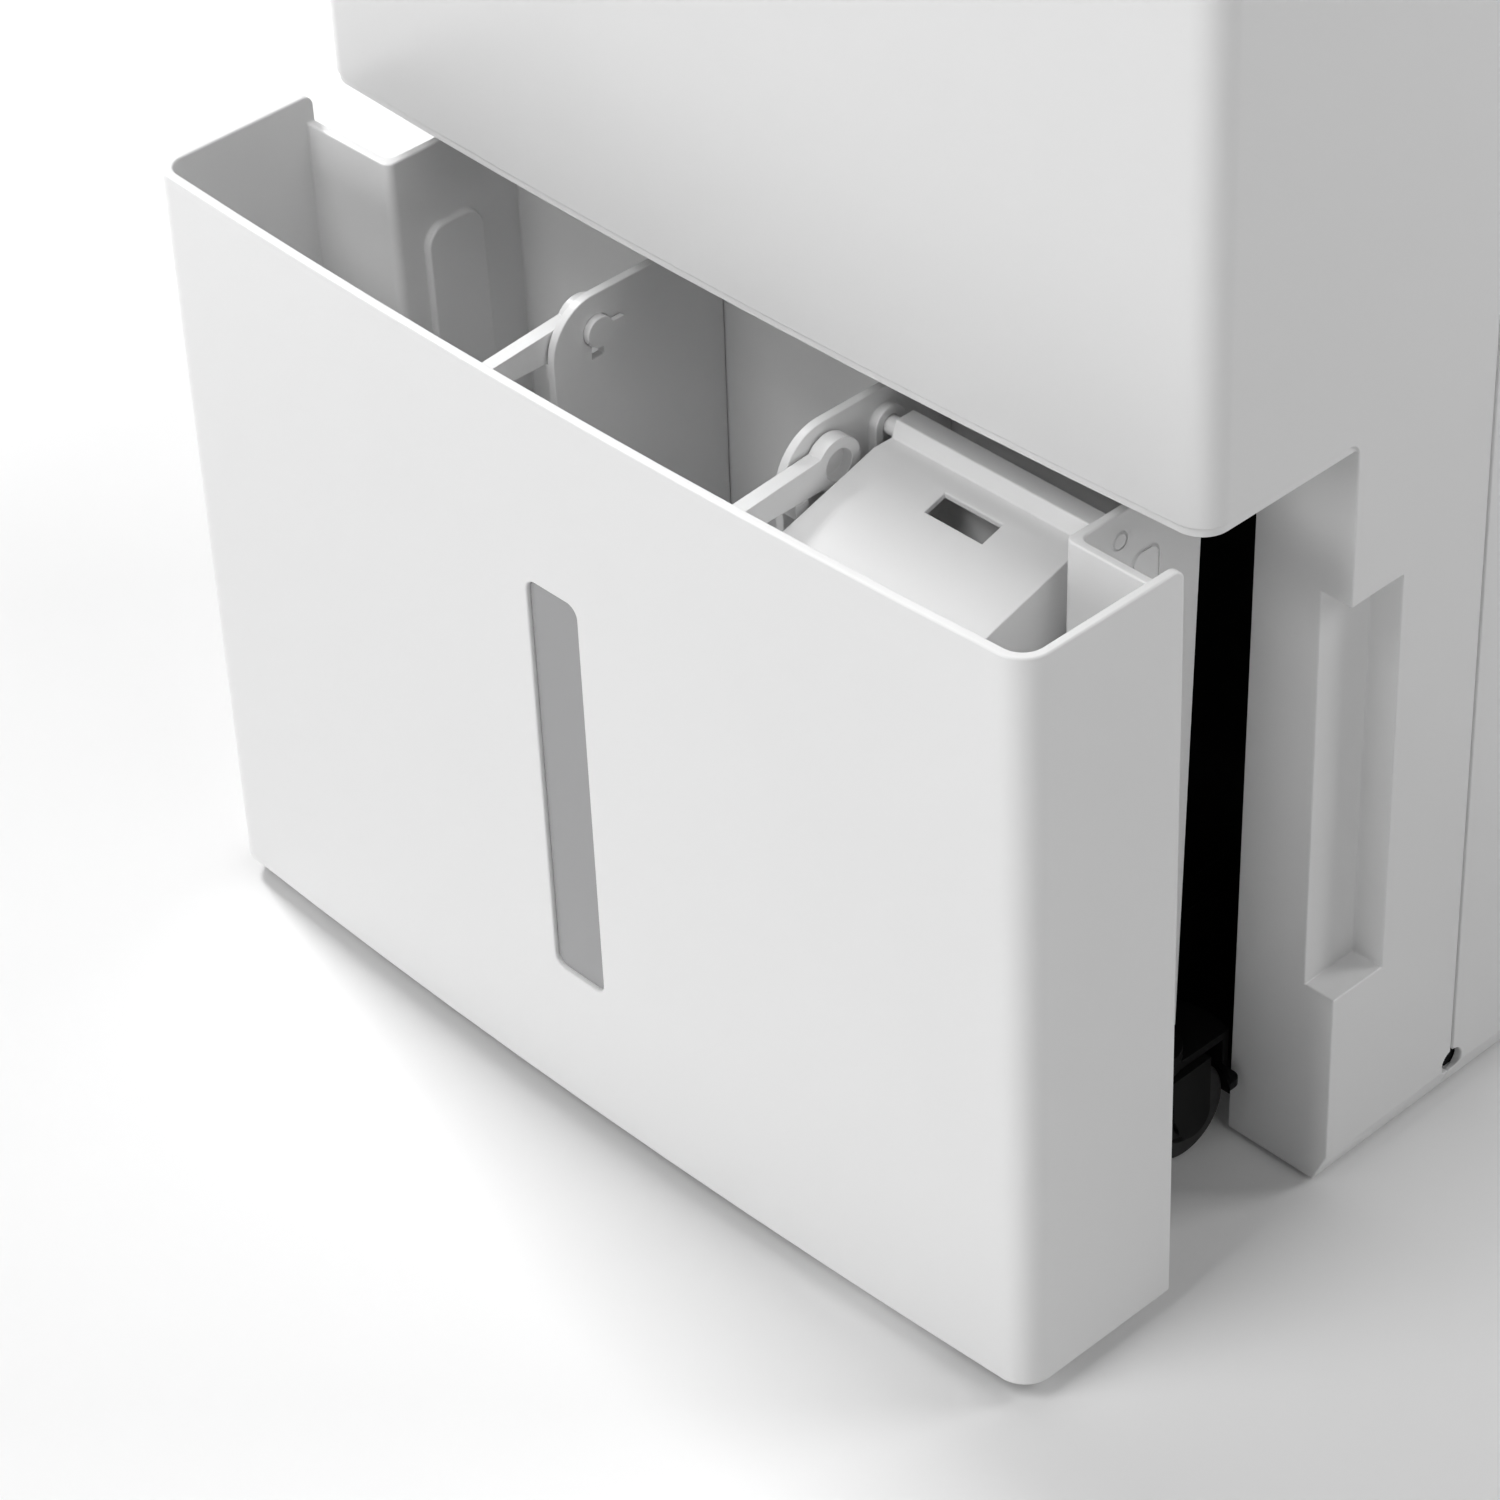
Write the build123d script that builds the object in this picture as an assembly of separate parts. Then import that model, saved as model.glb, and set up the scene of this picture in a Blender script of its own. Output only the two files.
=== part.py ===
from build123d import *
import math
import os

# A floor-standing compressor dehumidifier with its water tank pulled part-way out.
# Millimetres. +Z is up, the front faces -Y, and the origin is on the floor
# under the middle of the housing.

# Housing shells
width = 360.0
depth = 256.0
height = 593.0
wall = 3.0
front_bow = 5.0
front_corner_radius = 10.0
rear_corner_radius = 24.0
least_radius = 1.0
seam_depth = 124.0
seam_groove = 1.0
seam_notch_radius = 4.5
seam_notch_height = 15.5
seam_notch_depth = 12.0
shell_floor_gap = 2.0
foot_taper_in = 5.0
foot_taper_height = 11.5
foot_width = 9.0
foot_height = 9.0
cap_height = 34.0
cap_edge_radius = 10.0
cap_tongue = 10.0
slip_fit = 0.3

# Tank bay in the front shell
pillar_setback = 65.9
pillar_width_top = 35.2
pillar_width_bottom = 39.0
notch_corner_radius = 4.0
lip_gap = 2.0
lip_inset = 0.8
lip_height = 3.0
lip_upstand = 8.0
lip_flange = 14.0
deck_thickness = 2.5
bay_clearance = 3.0
recess_across = 11.2
recess_depth = 21.5
recess_low = 75.6
recess_high = 217.6

# Side carrying grips
grip_depth = 26.0
grip_front = 22.0
grip_length = 78.0
grip_drop = 80.0
grip_height = 34.0

# Water tank
tank_pull_out = 67.9
tank_floor_gap = 7.0
tank_height = 260.4
tank_wall = 3.1
tank_wing = 65.1
tank_wing_corner = 4.0
tank_rim_drop = 9.0
tank_run_gap = 10.6
tank_side_top = 37.5
tank_side_bottom = 41.5
tank_rear_top = 114.6
tank_rear_bottom = 112.0
tank_corner_radius = 5.0
tank_step_radius = 3.0
tank_pad_front = 73.0
tank_pad_rear = 95.0
tank_pad_proud = 2.4
tank_pad_drop = 26.4
tank_guide_front = 86.0
tank_guide_rear = 96.4
tank_guide_drop = 17.0
tank_guide_proud = 0.6
tank_boss_y = 80.5
tank_boss_drop = 9.0
tank_boss_radius = 2.7
window_x = -1.7
window_width = 21.5
window_sill = 0.4
window_height = 143.7
window_corner = 4.0
window_recess = 1.6
window_flange = 3.0

# Tank handle and the plates that carry it
plate_centre = 47.5
plate_thickness = 3.0
plate_front = 44.0
plate_drop = 3.8
plate_round = 17.0
pivot_y = 61.0
pivot_drop = 15.9
pivot_radius = 5.0
pivot_clearance = 0.08
key_width = 3.6
key_reach = 9.0
key_clearance = 0.4
arm_thickness = 5.0
arm_width = 11.0
arm_gap = 0.6
arm_boss_radius = 8.5
arm_boss_hollow = 5.0
handle_reach = 46.0
handle_bar_width = 12.0
handle_rest_drop = 4.0
stop_tab = 5.0

# Float
float_left = 57.0
float_side = 47.0
float_wall = 2.0
float_front = 30.0
float_rear = 80.0
float_depth = 62.0
float_band_drop = 14.4
float_band_front = 72.0
float_nose_drop = 26.4
float_bar_front = 79.0
float_bar_rear = 88.0
float_bar_drop = 9.4
float_bar_height = 11.0
float_pin_radius = 3.0
float_pin_y = 84.0
float_pin_drop = 14.9
float_guide_wall = 3.0
float_slot_x = 97.5
float_slot_y = 66.5
float_slot_width = 22.0
float_slot_depth = 8.0
magnet_width = 18.0
magnet_height = 10.0
magnet_thickness = 3.0

# Casters and base
wheel_radius = 16.3
wheel_width = 16.0
wheel_edge_radius = 2.0
hub_recess_radius = 10.0
hub_recess = 2.0
axle_radius = 3.0
fork_wall = 2.0
fork_gap = 0.8
fork_crown = 3.0
fork_boss_radius = 7.0
caster_trail = 8.0
caster_side = 49.0
caster_clearance = 0.8
stem_radius = 5.5
collar_radius = 8.0
stem_length = 4.0
socket_wall = 4.0
running_clearance = 0.08
well_gap = 1.0
well_wall = 2.5
base_bottom = 25.0
base_thickness = 3.0
base_side_gap = 1.2
base_front_gap = 6.0
base_tab_side = 32.3
base_tab_gap = 1.9
base_tab_round = 3.0
apron_low = 12.8
rail_side = 80.0
rail_width = 10.0

# Top panel and buttons
panel_half_width = 125.0
panel_front = -112.0
panel_rear = -54.0
panel_flange = 2.5
panel_ledge = 3.0
button_radius = 9.0
button_gap = 0.35
button_flange = 2.0
button_proud = 0.8
button_travel = 0.8
button_pitch = 28.0
button_inner_x = 48.0
button_stem_radius = 3.0
lens_width = 52.0
lens_depth = 26.0
board_drop = 12.0
board_thickness = 1.6
board_margin = 6.0
switch_size = 6.0
switch_height = 4.0
post_radius = 3.0

# Air outlet in the top
outlet_half_width = 130.0
outlet_front = -40.0
outlet_rear = 46.0
outlet_slat_pitch = 11.0
outlet_slat_tilt = 28.0
slat_thickness = 2.2
slat_depth = 10.0
grille_border = 5.0
grille_rib_spacing = 64.0

# Rear air intake
intake_half_width = 118.0
intake_lift = 29.1
intake_drop = 32.0
intake_depth = 7.0
intake_pitch = 10.0
intake_slat = 3.4
intake_rib_spacing = 58.0
intake_gap = 0.5
pull_notch_width = 46.0
pull_notch_height = 14.0
mesh_thickness = 1.0

# Blower
fan_x = -15.0
scroll_front = -36.0
scroll_rear = 34.0
scroll_wall = 2.5
scroll_growth = 1.48
tongue_angle = 60.0
spiral_steps = 10
scroll_floor_gap = 11.7
scroll_throat = 31.0
scroll_outlet_drop = 26.0
scroll_foot_x = 66.0
scroll_foot_width = 24.0
inlet_overlap = 6.0
inlet_lip = 8.0
motor_radius = 42.0
motor_length = 38.0
motor_opening = 30.0
motor_edge_radius = 6.0
shaft_radius = 4.0
shaft_in_motor = 30.0
fan_tongue_gap = 10.0
fan_front_gap = 5.0
fan_width = 56.0
fan_plate = 2.0
fan_ring = 4.0
blade_depth = 16.0
blade_count = 34
blade_sweep = 13.0
blade_bow = 3.4
blade_thickness_angle = 1.1
hub_radius = 11.0
hub_length = 24.0

# Heat exchangers and drip tray
coil_side = 56.0
coil_lift = 24.0
coil_drop = 45.0
evaporator_rear = 112.0
coil_depth = 22.0
coil_gap = 8.0
fin_pitch = 10.0
fin_groove = 3.0
fin_cut = 3.0
coil_tube_radius = 4.0
coil_tubes = 8
tray_margin = 16.0
tray_front = 54.0
tray_rear = 117.0
tray_height = 18.0
tray_wall = 2.5
tray_rib_x = 98.0
tray_rib_width = 6.0
chute_half_width = 20.0
chute_height = 8.0
chute_front = -52.0
spout_y = -40.0
spout_radius = 8.0
spout_bore = 6.0
spout_hole_gap = 1.0

# Refrigerant circuit
compressor_x = -60.0
compressor_y = 55.0
compressor_radius = 50.0
compressor_height = 190.0
compressor_dome = 20.0
lug_reach = 68.0
lug_width = 24.0
lug_thickness = 4.0
lug_circle = 60.0
grommet_radius = 9.0
grommet_height = 14.0
bolt_radius = 3.0
bolt_head_radius = 5.5
bolt_head = 4.0
bolt_gap = 0.3
accumulator_radius = 20.0
accumulator_drop = 44.0
accumulator_gap = 7.0
accumulator_lift = 26.0
accumulator_dome = 10.0
suction_radius = 4.5
discharge_radius = 3.0
liquid_radius = 2.5
liquid_bend = 4.0
pipe_bend = 12.0
pipe_side = 28.0
pipe_hole_margin = 7.0
liquid_reach = 14.0
port_reach = 8.0
port_drop = 13.0
drier_radius = 7.0

# Rear fittings
spigot_x = 96.0
spigot_radius = 8.0
spigot_bore = 5.5
spigot_neck = 1.0
spigot_reach = 16.0
spigot_flange = 13.0
plug_head_radius = 7.0
plug_head = 3.0
plug_length = 14.0
cord_inlet_side = 52.0
cord_inlet_z = 92.0
cord_inlet_radius = 9.0
cord_inlet_flange = 13.0
cord_inlet_bore = 4.0
cord_inlet_proud = 3.0
screw_radius = 2.0
screw_head_radius = 4.0
screw_head = 2.2
screw_length = 10.0
screw_side = 32.0
sensor_size = 16.0
sensor_depth = 10.0

# Heights and planes that follow from the sizes above
half_width = width / 2
front_face = -depth / 2
rear_face = depth / 2
seam_y = front_face + seam_depth
shell_top = height - cap_height
foot_top = shell_floor_gap + foot_height
pillar_face = front_face + pillar_setback
pillar_inner_top = half_width - pillar_width_top
pillar_inner_bottom = half_width - pillar_width_bottom
screw_x = half_width - screw_side
cord_inlet_x = cord_inlet_side - half_width
grip_low = shell_top - grip_drop
tank_top = tank_floor_gap + tank_height
tank_rim = tank_height - tank_rim_drop
tank_half_top = half_width - tank_side_top
tank_half_bottom = half_width - tank_side_bottom
tank_pad_top = tank_rim - tank_pad_drop
tank_guide_top = tank_rim - tank_guide_drop
tank_boss_z = tank_rim - tank_boss_drop
plate_top = tank_rim - plate_drop
pivot_z = tank_rim - pivot_drop
float_right = half_width - float_side
float_band_z = tank_rim - float_band_drop
float_nose_z = tank_rim - float_nose_drop
float_bar_top = tank_rim - float_bar_drop
float_bar_low = float_bar_top - float_bar_height
float_pin_z = tank_rim - float_pin_drop
lip_bottom = tank_top + lip_gap
lip_top = lip_bottom + lip_height
deck_bottom = lip_bottom + lip_gap
deck_top = deck_bottom + deck_thickness
bay_rear = front_face + tank_rear_top + bay_clearance
base_top = base_bottom + base_thickness
base_tab_x = half_width - base_tab_side
rail_x = half_width - rail_side
crown_low = 2 * wheel_radius + fork_gap
well_roof = crown_low + fork_crown + well_gap
tank_floor_under = well_roof + stem_length + wall + tank_run_gap
tank_floor_height = tank_floor_under - tank_floor_gap
window_low = tank_floor_height + tank_wall + window_sill
window_high = window_low + window_height
caster_x = half_width - caster_side
swivel_reach = math.hypot(caster_trail + wheel_radius, wheel_width / 2) + caster_clearance
wheel_chord = math.sqrt(wheel_radius**2 - (base_bottom - wheel_radius) ** 2)
well_radius = math.hypot(caster_trail + wheel_chord, wheel_width / 2) + caster_clearance
front_stem_y = pillar_face - math.sqrt(swivel_reach**2 - (pillar_inner_bottom - caster_x) ** 2)
rear_stem_y = rear_face - wall - slip_fit - wall - swivel_reach
apron_y = front_stem_y + swivel_reach
fascia_under = height - wall - panel_flange
board_top = fascia_under - board_drop
button_y = (panel_front + panel_rear) / 2
evaporator_y = evaporator_rear - coil_depth / 2
condenser_y = evaporator_y - coil_depth - coil_gap
coil_half_width = half_width - coil_side
coil_bottom = deck_top + coil_lift
coil_top = shell_top - coil_drop
coil_tube_pitch = (coil_top - coil_bottom) / coil_tubes
tray_half_width = coil_half_width + tray_margin
pipe_riser_x = half_width - pipe_side
liquid_riser_x = coil_half_width + liquid_reach
intake_low = deck_top + intake_lift
intake_high = shell_top - intake_drop
spigot_z = deck_top + tray_height / 2
compressor_low = base_top + grommet_height
compressor_top = compressor_low + lug_thickness + compressor_height
accumulator_x = compressor_x + compressor_radius + accumulator_gap + accumulator_radius
accumulator_low = compressor_low + accumulator_lift
accumulator_top = compressor_top - accumulator_drop
port_z = compressor_top - port_drop
fan_front = scroll_front + scroll_wall + fan_front_gap
scroll_outlet_z = shell_top - scroll_outlet_drop
scroll_low_growth = scroll_growth ** ((270.0 - tongue_angle) / (360.0 - tongue_angle))
scroll_room = scroll_outlet_z - scroll_throat - deck_top - scroll_floor_gap - scroll_wall
tongue_radius = scroll_room / (scroll_low_growth + math.sin(math.radians(tongue_angle)))
exit_radius = tongue_radius * scroll_growth
fan_z = deck_top + scroll_floor_gap + scroll_wall + tongue_radius * scroll_low_growth
fan_radius = tongue_radius - fan_tongue_gap
blade_inner_radius = fan_radius - blade_depth
inlet_radius = blade_inner_radius - inlet_overlap
tank_place = Pos(0, front_face - tank_pull_out, tank_floor_gap)


def save(node, shape):
    """Write one piece to its own file."""
    export_step(shape, f"parts/{node}.step")


def block(low, high):
    """Box between two opposite corners."""
    size = Vector(*high) - Vector(*low)
    middle = (Vector(*low) + Vector(*high)) * 0.5
    return Pos(middle.X, middle.Y, middle.Z) * Box(size.X, size.Y, size.Z)


def rod(radius, start, direction, length):
    """Round bar from a point along a direction."""
    return extrude(Plane(origin=start, z_dir=direction) * Circle(radius), length)


def prism(face, low, high):
    """Plan face raised from one height to another."""
    return extrude(Pos(0, 0, low) * face, high - low)


def slab_y(face, front, rear):
    """Face drawn in X and Z, made solid from front to rear."""
    return extrude(Plane.XZ.offset(-rear) * face, rear - front)


def slab_x(face, left, right):
    """Face drawn in Y and Z, made solid from left to right."""
    return extrude(Plane.YZ.offset(left) * face, right - left)


def pipe(radius, bend, points):
    """Round pipe along straight runs joined by bends."""
    path = FilletPolyline(*points, radius=bend)
    first_run = Vector(*points[1]) - Vector(*points[0])
    return sweep(Plane(origin=points[0], z_dir=first_run) * Circle(radius), path=path)


def both_sides(solid):
    """A solid and its mirror image across the middle."""
    return [solid, mirror(solid, Plane.YZ)]


def bowed_plan(half, front, rear, front_radius, rear_radius=None):
    """Plan face with a bowed front edge and rounded corners."""
    with BuildSketch() as plan:
        with BuildLine():
            ThreePointArc((-half, front + front_bow), (0, front), (half, front + front_bow))
            Polyline((half, front + front_bow), (half, rear), (-half, rear), (-half, front + front_bow))
        make_face()
        fillet(plan.vertices().group_by(Axis.Y)[0], front_radius)
        if rear_radius:
            fillet(plan.vertices().group_by(Axis.Y)[-1], rear_radius)
    return plan.sketch


def housing_plan(inset):
    """Plan of the housing, set in from its outer skin."""
    return bowed_plan(
        half_width - inset,
        front_face + inset,
        rear_face - inset,
        max(front_corner_radius - inset, least_radius),
        max(rear_corner_radius - inset, least_radius),
    )


def plan_ring(outer_inset, inner_inset, low, high):
    """Upright band that follows the housing plan."""
    return prism(housing_plan(outer_inset), low, high) - prism(housing_plan(inner_inset), low, high)


def housing_body():
    """Full outside of the two shells, tapered in at the foot."""
    taper_top = shell_floor_gap + foot_taper_height
    foot = loft(
        [Pos(0, 0, shell_floor_gap) * housing_plan(foot_taper_in), Pos(0, 0, taper_top) * housing_plan(0)],
        ruled=True,
    )
    return foot + prism(housing_plan(0), taper_top, shell_top)


def housing_skin(body):
    """Open-ended shell with a flange round its foot."""
    cavity = prism(housing_plan(foot_width), 0, foot_top) + prism(housing_plan(wall), foot_top, height)
    return body - cavity


def seam_notches():
    """Round release notches where the shell joint meets the foot."""
    start = (half_width - seam_notch_depth, seam_y, seam_notch_height)
    return both_sides(rod(seam_notch_radius, start, (1, 0, 0), 2 * seam_notch_depth))


def recess_box(grow):
    """Finger recess beside the tank, or its cup when grown by a wall."""
    left = half_width - recess_across - grow
    rear = pillar_face + recess_depth + grow
    return block((left, pillar_face, recess_low - grow), (half_width, rear, recess_high + grow))


def pillar(body):
    """Right side pillar of the bay: front wall, inner wall and finger cup."""
    low = shell_floor_gap
    outside = Polygon(
        (pillar_inner_bottom, low), (half_width, low),
        (half_width, deck_bottom), (pillar_inner_top, deck_bottom),
        align=None,
    )
    inside = Polygon(
        (pillar_inner_bottom + wall, low), (half_width - wall, low),
        (half_width - wall, deck_bottom), (pillar_inner_top + wall, deck_bottom),
        align=None,
    )
    post = slab_y(outside, pillar_face, seam_y) - slab_y(inside, pillar_face + wall, seam_y)
    return (post + recess_box(wall)) & body


def front_shell():
    """Front housing with its bowed face, bay opening, lip and side pillars."""
    body = housing_body()
    front_half = block((-width, -depth, 0), (width, seam_y, height))
    shell = housing_skin(body) & front_half
    bay = block((-width, -depth, 0), (width, pillar_face, lip_top))
    upper_rear_edge = bay.edges().filter_by(Axis.X).group_by(Axis.Z)[-1].sort_by(Axis.Y)[-1]
    shell -= fillet(upper_rear_edge, notch_corner_radius)
    shell += both_sides(pillar(body))
    lip_zone = block((-width, -depth, lip_bottom), (width, pillar_face + wall, lip_bottom + lip_upstand))
    lip = plan_ring(lip_inset, lip_inset + wall, lip_bottom, lip_bottom + lip_upstand)
    ledge = plan_ring(lip_inset, lip_flange, lip_bottom, deck_bottom)
    shell += (lip + ledge) & lip_zone
    shell -= both_sides(recess_box(0))
    shell -= plan_ring(0, seam_groove, 0, height) & block(
        (-width, seam_y - seam_groove, 0), (width, seam_y, height)
    )
    return shell - seam_notches()


def grip_box(grow):
    """Right carrying recess, or its cup when grown by a wall."""
    left = half_width - grip_depth - grow
    low = (left, grip_front - grow, grip_low - grow)
    return block(low, (half_width, grip_front + grip_length + grow, grip_low + grip_height + grow))


def screw_places():
    """Points on the back face over the base's skirt and the cap's tongue."""
    heights = ((foot_top + base_bottom) / 2, shell_top - cap_tongue / 2)
    return [(side * screw_x, rear_face, z) for side in (-1, 1) for z in heights]


def screw_shanks(radius):
    """Bars along the shell screws, for the shanks or for their holes."""
    return [rod(radius, place, (0, -1, 0), screw_length) for place in screw_places()]


def rear_shell():
    """Rear housing with carrying recesses, air intake and fitting holes."""
    body = housing_body()
    rear_half = block((-width, seam_y, 0), (width, depth, height))
    shell = housing_skin(body) & rear_half
    shell += [cup & body for cup in both_sides(grip_box(wall))]
    shell -= both_sides(grip_box(0))
    shell -= block(
        (-intake_half_width, rear_face - 2 * wall, intake_low), (intake_half_width, depth, intake_high)
    )
    neck_hole = spigot_radius + spigot_neck + slip_fit
    shell -= rod(neck_hole, (spigot_x, 0, spigot_z), (0, 1, 0), depth)
    shell -= rod(cord_inlet_radius + slip_fit, (cord_inlet_x, 0, cord_inlet_z), (0, 1, 0), depth)
    shell -= screw_shanks(screw_radius + slip_fit)
    return shell - seam_notches()


def shell_screws():
    """Pan-head screws in the back face."""
    heads = [rod(screw_head_radius, place, (0, 1, 0), screw_head) for place in screw_places()]
    return Compound([head + shank for head, shank in zip(heads, screw_shanks(screw_radius))])


def top_cover():
    """Cap over both shells with openings for the panel and the air outlet."""
    cap = prism(housing_plan(0), shell_top, height)
    cap = fillet(cap.edges().group_by(Axis.Z)[-1], cap_edge_radius)
    hollow = prism(housing_plan(wall), shell_top, height - wall)
    hollow = fillet(hollow.edges().group_by(Axis.Z)[-1], cap_edge_radius - wall)
    cap -= hollow
    tongue_inset = wall + slip_fit
    cap += plan_ring(wall / 2, tongue_inset + wall, shell_top, shell_top + wall)
    cap += plan_ring(tongue_inset, tongue_inset + wall, shell_top - cap_tongue, shell_top + wall)
    cap -= block((-panel_half_width, panel_front, shell_top), (panel_half_width, panel_rear, 2 * height))
    cap -= block((-outlet_half_width, outlet_front, shell_top), (outlet_half_width, outlet_rear, 2 * height))
    return cap - screw_shanks(screw_radius)


def set_in_plate(half, front, rear):
    """Plate that fills an opening in the cap and hangs on a ledge under it."""
    plate = block(
        (-half + slip_fit, front + slip_fit, height - wall), (half - slip_fit, rear - slip_fit, height)
    )
    ledge = block(
        (-half - panel_ledge, front - panel_ledge, fascia_under),
        (half + panel_ledge, rear + panel_ledge, height - wall),
    )
    return plate + ledge


def button_places():
    """Button names and their places along the panel."""
    names_left = ("fan", "mode", "power")
    names_right = ("down", "up", "timer")
    places = {}
    for step in range(len(names_left)):
        reach = button_inner_x + step * button_pitch
        places[names_left[step]] = -reach
        places[names_right[step]] = reach
    return places


def lens_hole(grow):
    """Display opening in the panel."""
    half = lens_width / 2 + grow
    deep = lens_depth / 2 + grow
    return block((-half, button_y - deep, fascia_under), (half, button_y + deep, height))


def control_panel():
    """Fascia with button holes, a display opening and posts for its board."""
    panel = set_in_plate(panel_half_width, panel_front, panel_rear)
    panel -= lens_hole(0)
    for x in button_places().values():
        panel -= rod(button_radius + button_gap, (x, button_y, fascia_under), (0, 0, 1), board_drop)
    for x in (-panel_half_width + 2 * board_margin, panel_half_width - 2 * board_margin):
        for y in (panel_front + 2 * board_margin, panel_rear - 2 * board_margin):
            panel += rod(post_radius, (x, y, board_top), (0, 0, 1), board_drop)
    return panel


def display_lens():
    """Window over the figures, held from below by a rim."""
    under = lens_hole(panel_ledge) & block((-width, -depth, 0), (width, depth, fascia_under + panel_flange))
    return lens_hole(-slip_fit) + Pos(0, 0, -panel_flange) * under


def button(x):
    """Round key with a flange under the fascia and a stem to its switch."""
    cap_low = fascia_under - button_flange
    cap = rod(button_radius, (x, button_y, cap_low), (0, 0, 1), height + button_proud - cap_low)
    cap = fillet(cap.edges().group_by(Axis.Z)[-1], button_proud / 2)
    flange = rod(button_radius + button_flange, (x, button_y, cap_low), (0, 0, 1), button_flange)
    stem_low = board_top + switch_height + button_travel
    stem = rod(button_stem_radius, (x, button_y, stem_low), (0, 0, 1), cap_low - stem_low)
    return cap + flange + stem


def control_board():
    """Circuit board with one switch under each key."""
    board = block(
        (-panel_half_width + board_margin, panel_front + board_margin, board_top - board_thickness),
        (panel_half_width - board_margin, panel_rear - board_margin, board_top),
    )
    half = switch_size / 2
    for x in button_places().values():
        low = (x - half, button_y - half, board_top)
        board += block(low, (x + half, button_y + half, board_top + switch_height))
    return board


def outlet_grille():
    """Top outlet frame with slanted slats on cross ribs."""
    opening = block(
        (-outlet_half_width + slip_fit, outlet_front + slip_fit, fascia_under),
        (outlet_half_width - slip_fit, outlet_rear - slip_fit, height),
    )
    clear = block(
        (-outlet_half_width + grille_border, outlet_front + grille_border, fascia_under - slat_depth),
        (outlet_half_width - grille_border, outlet_rear - grille_border, 2 * height),
    )
    frame = set_in_plate(outlet_half_width, outlet_front, outlet_rear) - clear
    middle_z = (fascia_under + height) / 2
    count = int((outlet_rear - outlet_front - 2 * grille_border) / outlet_slat_pitch)
    first_y = (outlet_front + outlet_rear - (count - 1) * outlet_slat_pitch) / 2
    slat = Rot(outlet_slat_tilt, 0, 0) * Box(2 * outlet_half_width, slat_thickness, slat_depth)
    slats = [Pos(0, first_y + step * outlet_slat_pitch, middle_z) * slat for step in range(count)]
    rib_count = int(outlet_half_width / grille_rib_spacing)
    for step in range(-rib_count, rib_count + 1):
        x = step * grille_rib_spacing
        low = (x - slat_thickness / 2, outlet_front, fascia_under)
        slats.append(block(low, (x + slat_thickness / 2, outlet_rear, middle_z)))
    return frame + [slat & opening for slat in slats]


def outlet_duct():
    """Hood that widens from the blower's mouth to the outlet grille."""
    def mouth(grow):
        left = fan_x + tongue_radius * math.cos(math.radians(tongue_angle)) - scroll_wall - grow
        right = fan_x + exit_radius + scroll_wall + grow
        deep = scroll_rear + scroll_wall - scroll_front + 2 * grow
        centre_y = (scroll_front + scroll_rear + scroll_wall) / 2
        return Pos((left + right) / 2, centre_y) * Rectangle(right - left, deep)

    def grille_side(grow):
        across = 2 * (outlet_half_width + grow)
        deep = outlet_rear - outlet_front + 2 * grow
        return Pos(0, (outlet_front + outlet_rear) / 2) * Rectangle(across, deep)

    def hood(lower, upper):
        return loft([Pos(0, 0, scroll_outlet_z) * lower, Pos(0, 0, fascia_under) * upper], ruled=True)

    return hood(mouth(0), grille_side(0)) - hood(mouth(-scroll_wall), grille_side(-scroll_wall))


def volute_plan(grow):
    """X-Z face of the blower scroll: a growing spiral that leaves upwards."""
    turn = 360.0 - tongue_angle
    points = []
    for step in range(spiral_steps + 1):
        share = step / spiral_steps
        reach = tongue_radius * (exit_radius / tongue_radius) ** share + grow
        angle = math.radians(tongue_angle + turn * share)
        points.append((fan_x + reach * math.cos(angle), fan_z + reach * math.sin(angle)))
    with BuildSketch() as spiral:
        with BuildLine():
            Spline(*points)
            Line(points[-1], points[0])
        make_face()
    left = fan_x + tongue_radius * math.cos(math.radians(tongue_angle)) - grow
    right = fan_x + exit_radius + grow
    mouth = Rectangle(right - left, scroll_outlet_z - fan_z)
    return spiral.sketch + Pos((left + right) / 2, (fan_z + scroll_outlet_z) / 2) * mouth


def fan_scroll():
    """Scroll wall and front plate on two feet."""
    scroll = slab_y(volute_plan(scroll_wall), scroll_front, scroll_rear)
    for side in (-1, 1):
        left = fan_x + side * scroll_foot_x - scroll_foot_width / 2
        low = (left, scroll_front, deck_top)
        scroll += block(low, (left + scroll_foot_width, scroll_rear, fan_z - tongue_radius))
    scroll -= slab_y(volute_plan(0), scroll_front + scroll_wall, scroll_rear)
    return scroll - rod(motor_opening, (fan_x, scroll_front, fan_z), (0, 1, 0), scroll_wall)


def fan_inlet_plate():
    """Rear plate of the scroll with its inlet lip."""
    plate = slab_y(volute_plan(scroll_wall), scroll_rear, scroll_rear + scroll_wall)
    lip_start = (fan_x, scroll_rear - inlet_lip, fan_z)
    plate += rod(inlet_radius + scroll_wall, lip_start, (0, 1, 0), inlet_lip + scroll_wall)
    return plate - rod(inlet_radius, lip_start, (0, 1, 0), 2 * inlet_lip + scroll_wall)


def fan_blade():
    """One forward-curved blade, drawn in X and Z about the fan's axis."""
    def place(radius, angle):
        return (radius * math.cos(math.radians(angle)), radius * math.sin(math.radians(angle)))

    outer = fan_radius - fan_plate / 2
    middle = (blade_inner_radius + outer) / 2
    with BuildSketch() as section:
        with BuildLine():
            ThreePointArc(
                place(blade_inner_radius, 0), place(middle, blade_bow), place(outer, blade_sweep)
            )
            Line(place(outer, blade_sweep), place(outer, blade_sweep + blade_thickness_angle))
            ThreePointArc(
                place(outer, blade_sweep + blade_thickness_angle),
                place(middle, blade_bow + blade_thickness_angle),
                place(blade_inner_radius, blade_thickness_angle),
            )
            Line(place(blade_inner_radius, blade_thickness_angle), place(blade_inner_radius, 0))
        make_face()
    return slab_y(section.sketch, fan_front, fan_front + fan_width)


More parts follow.
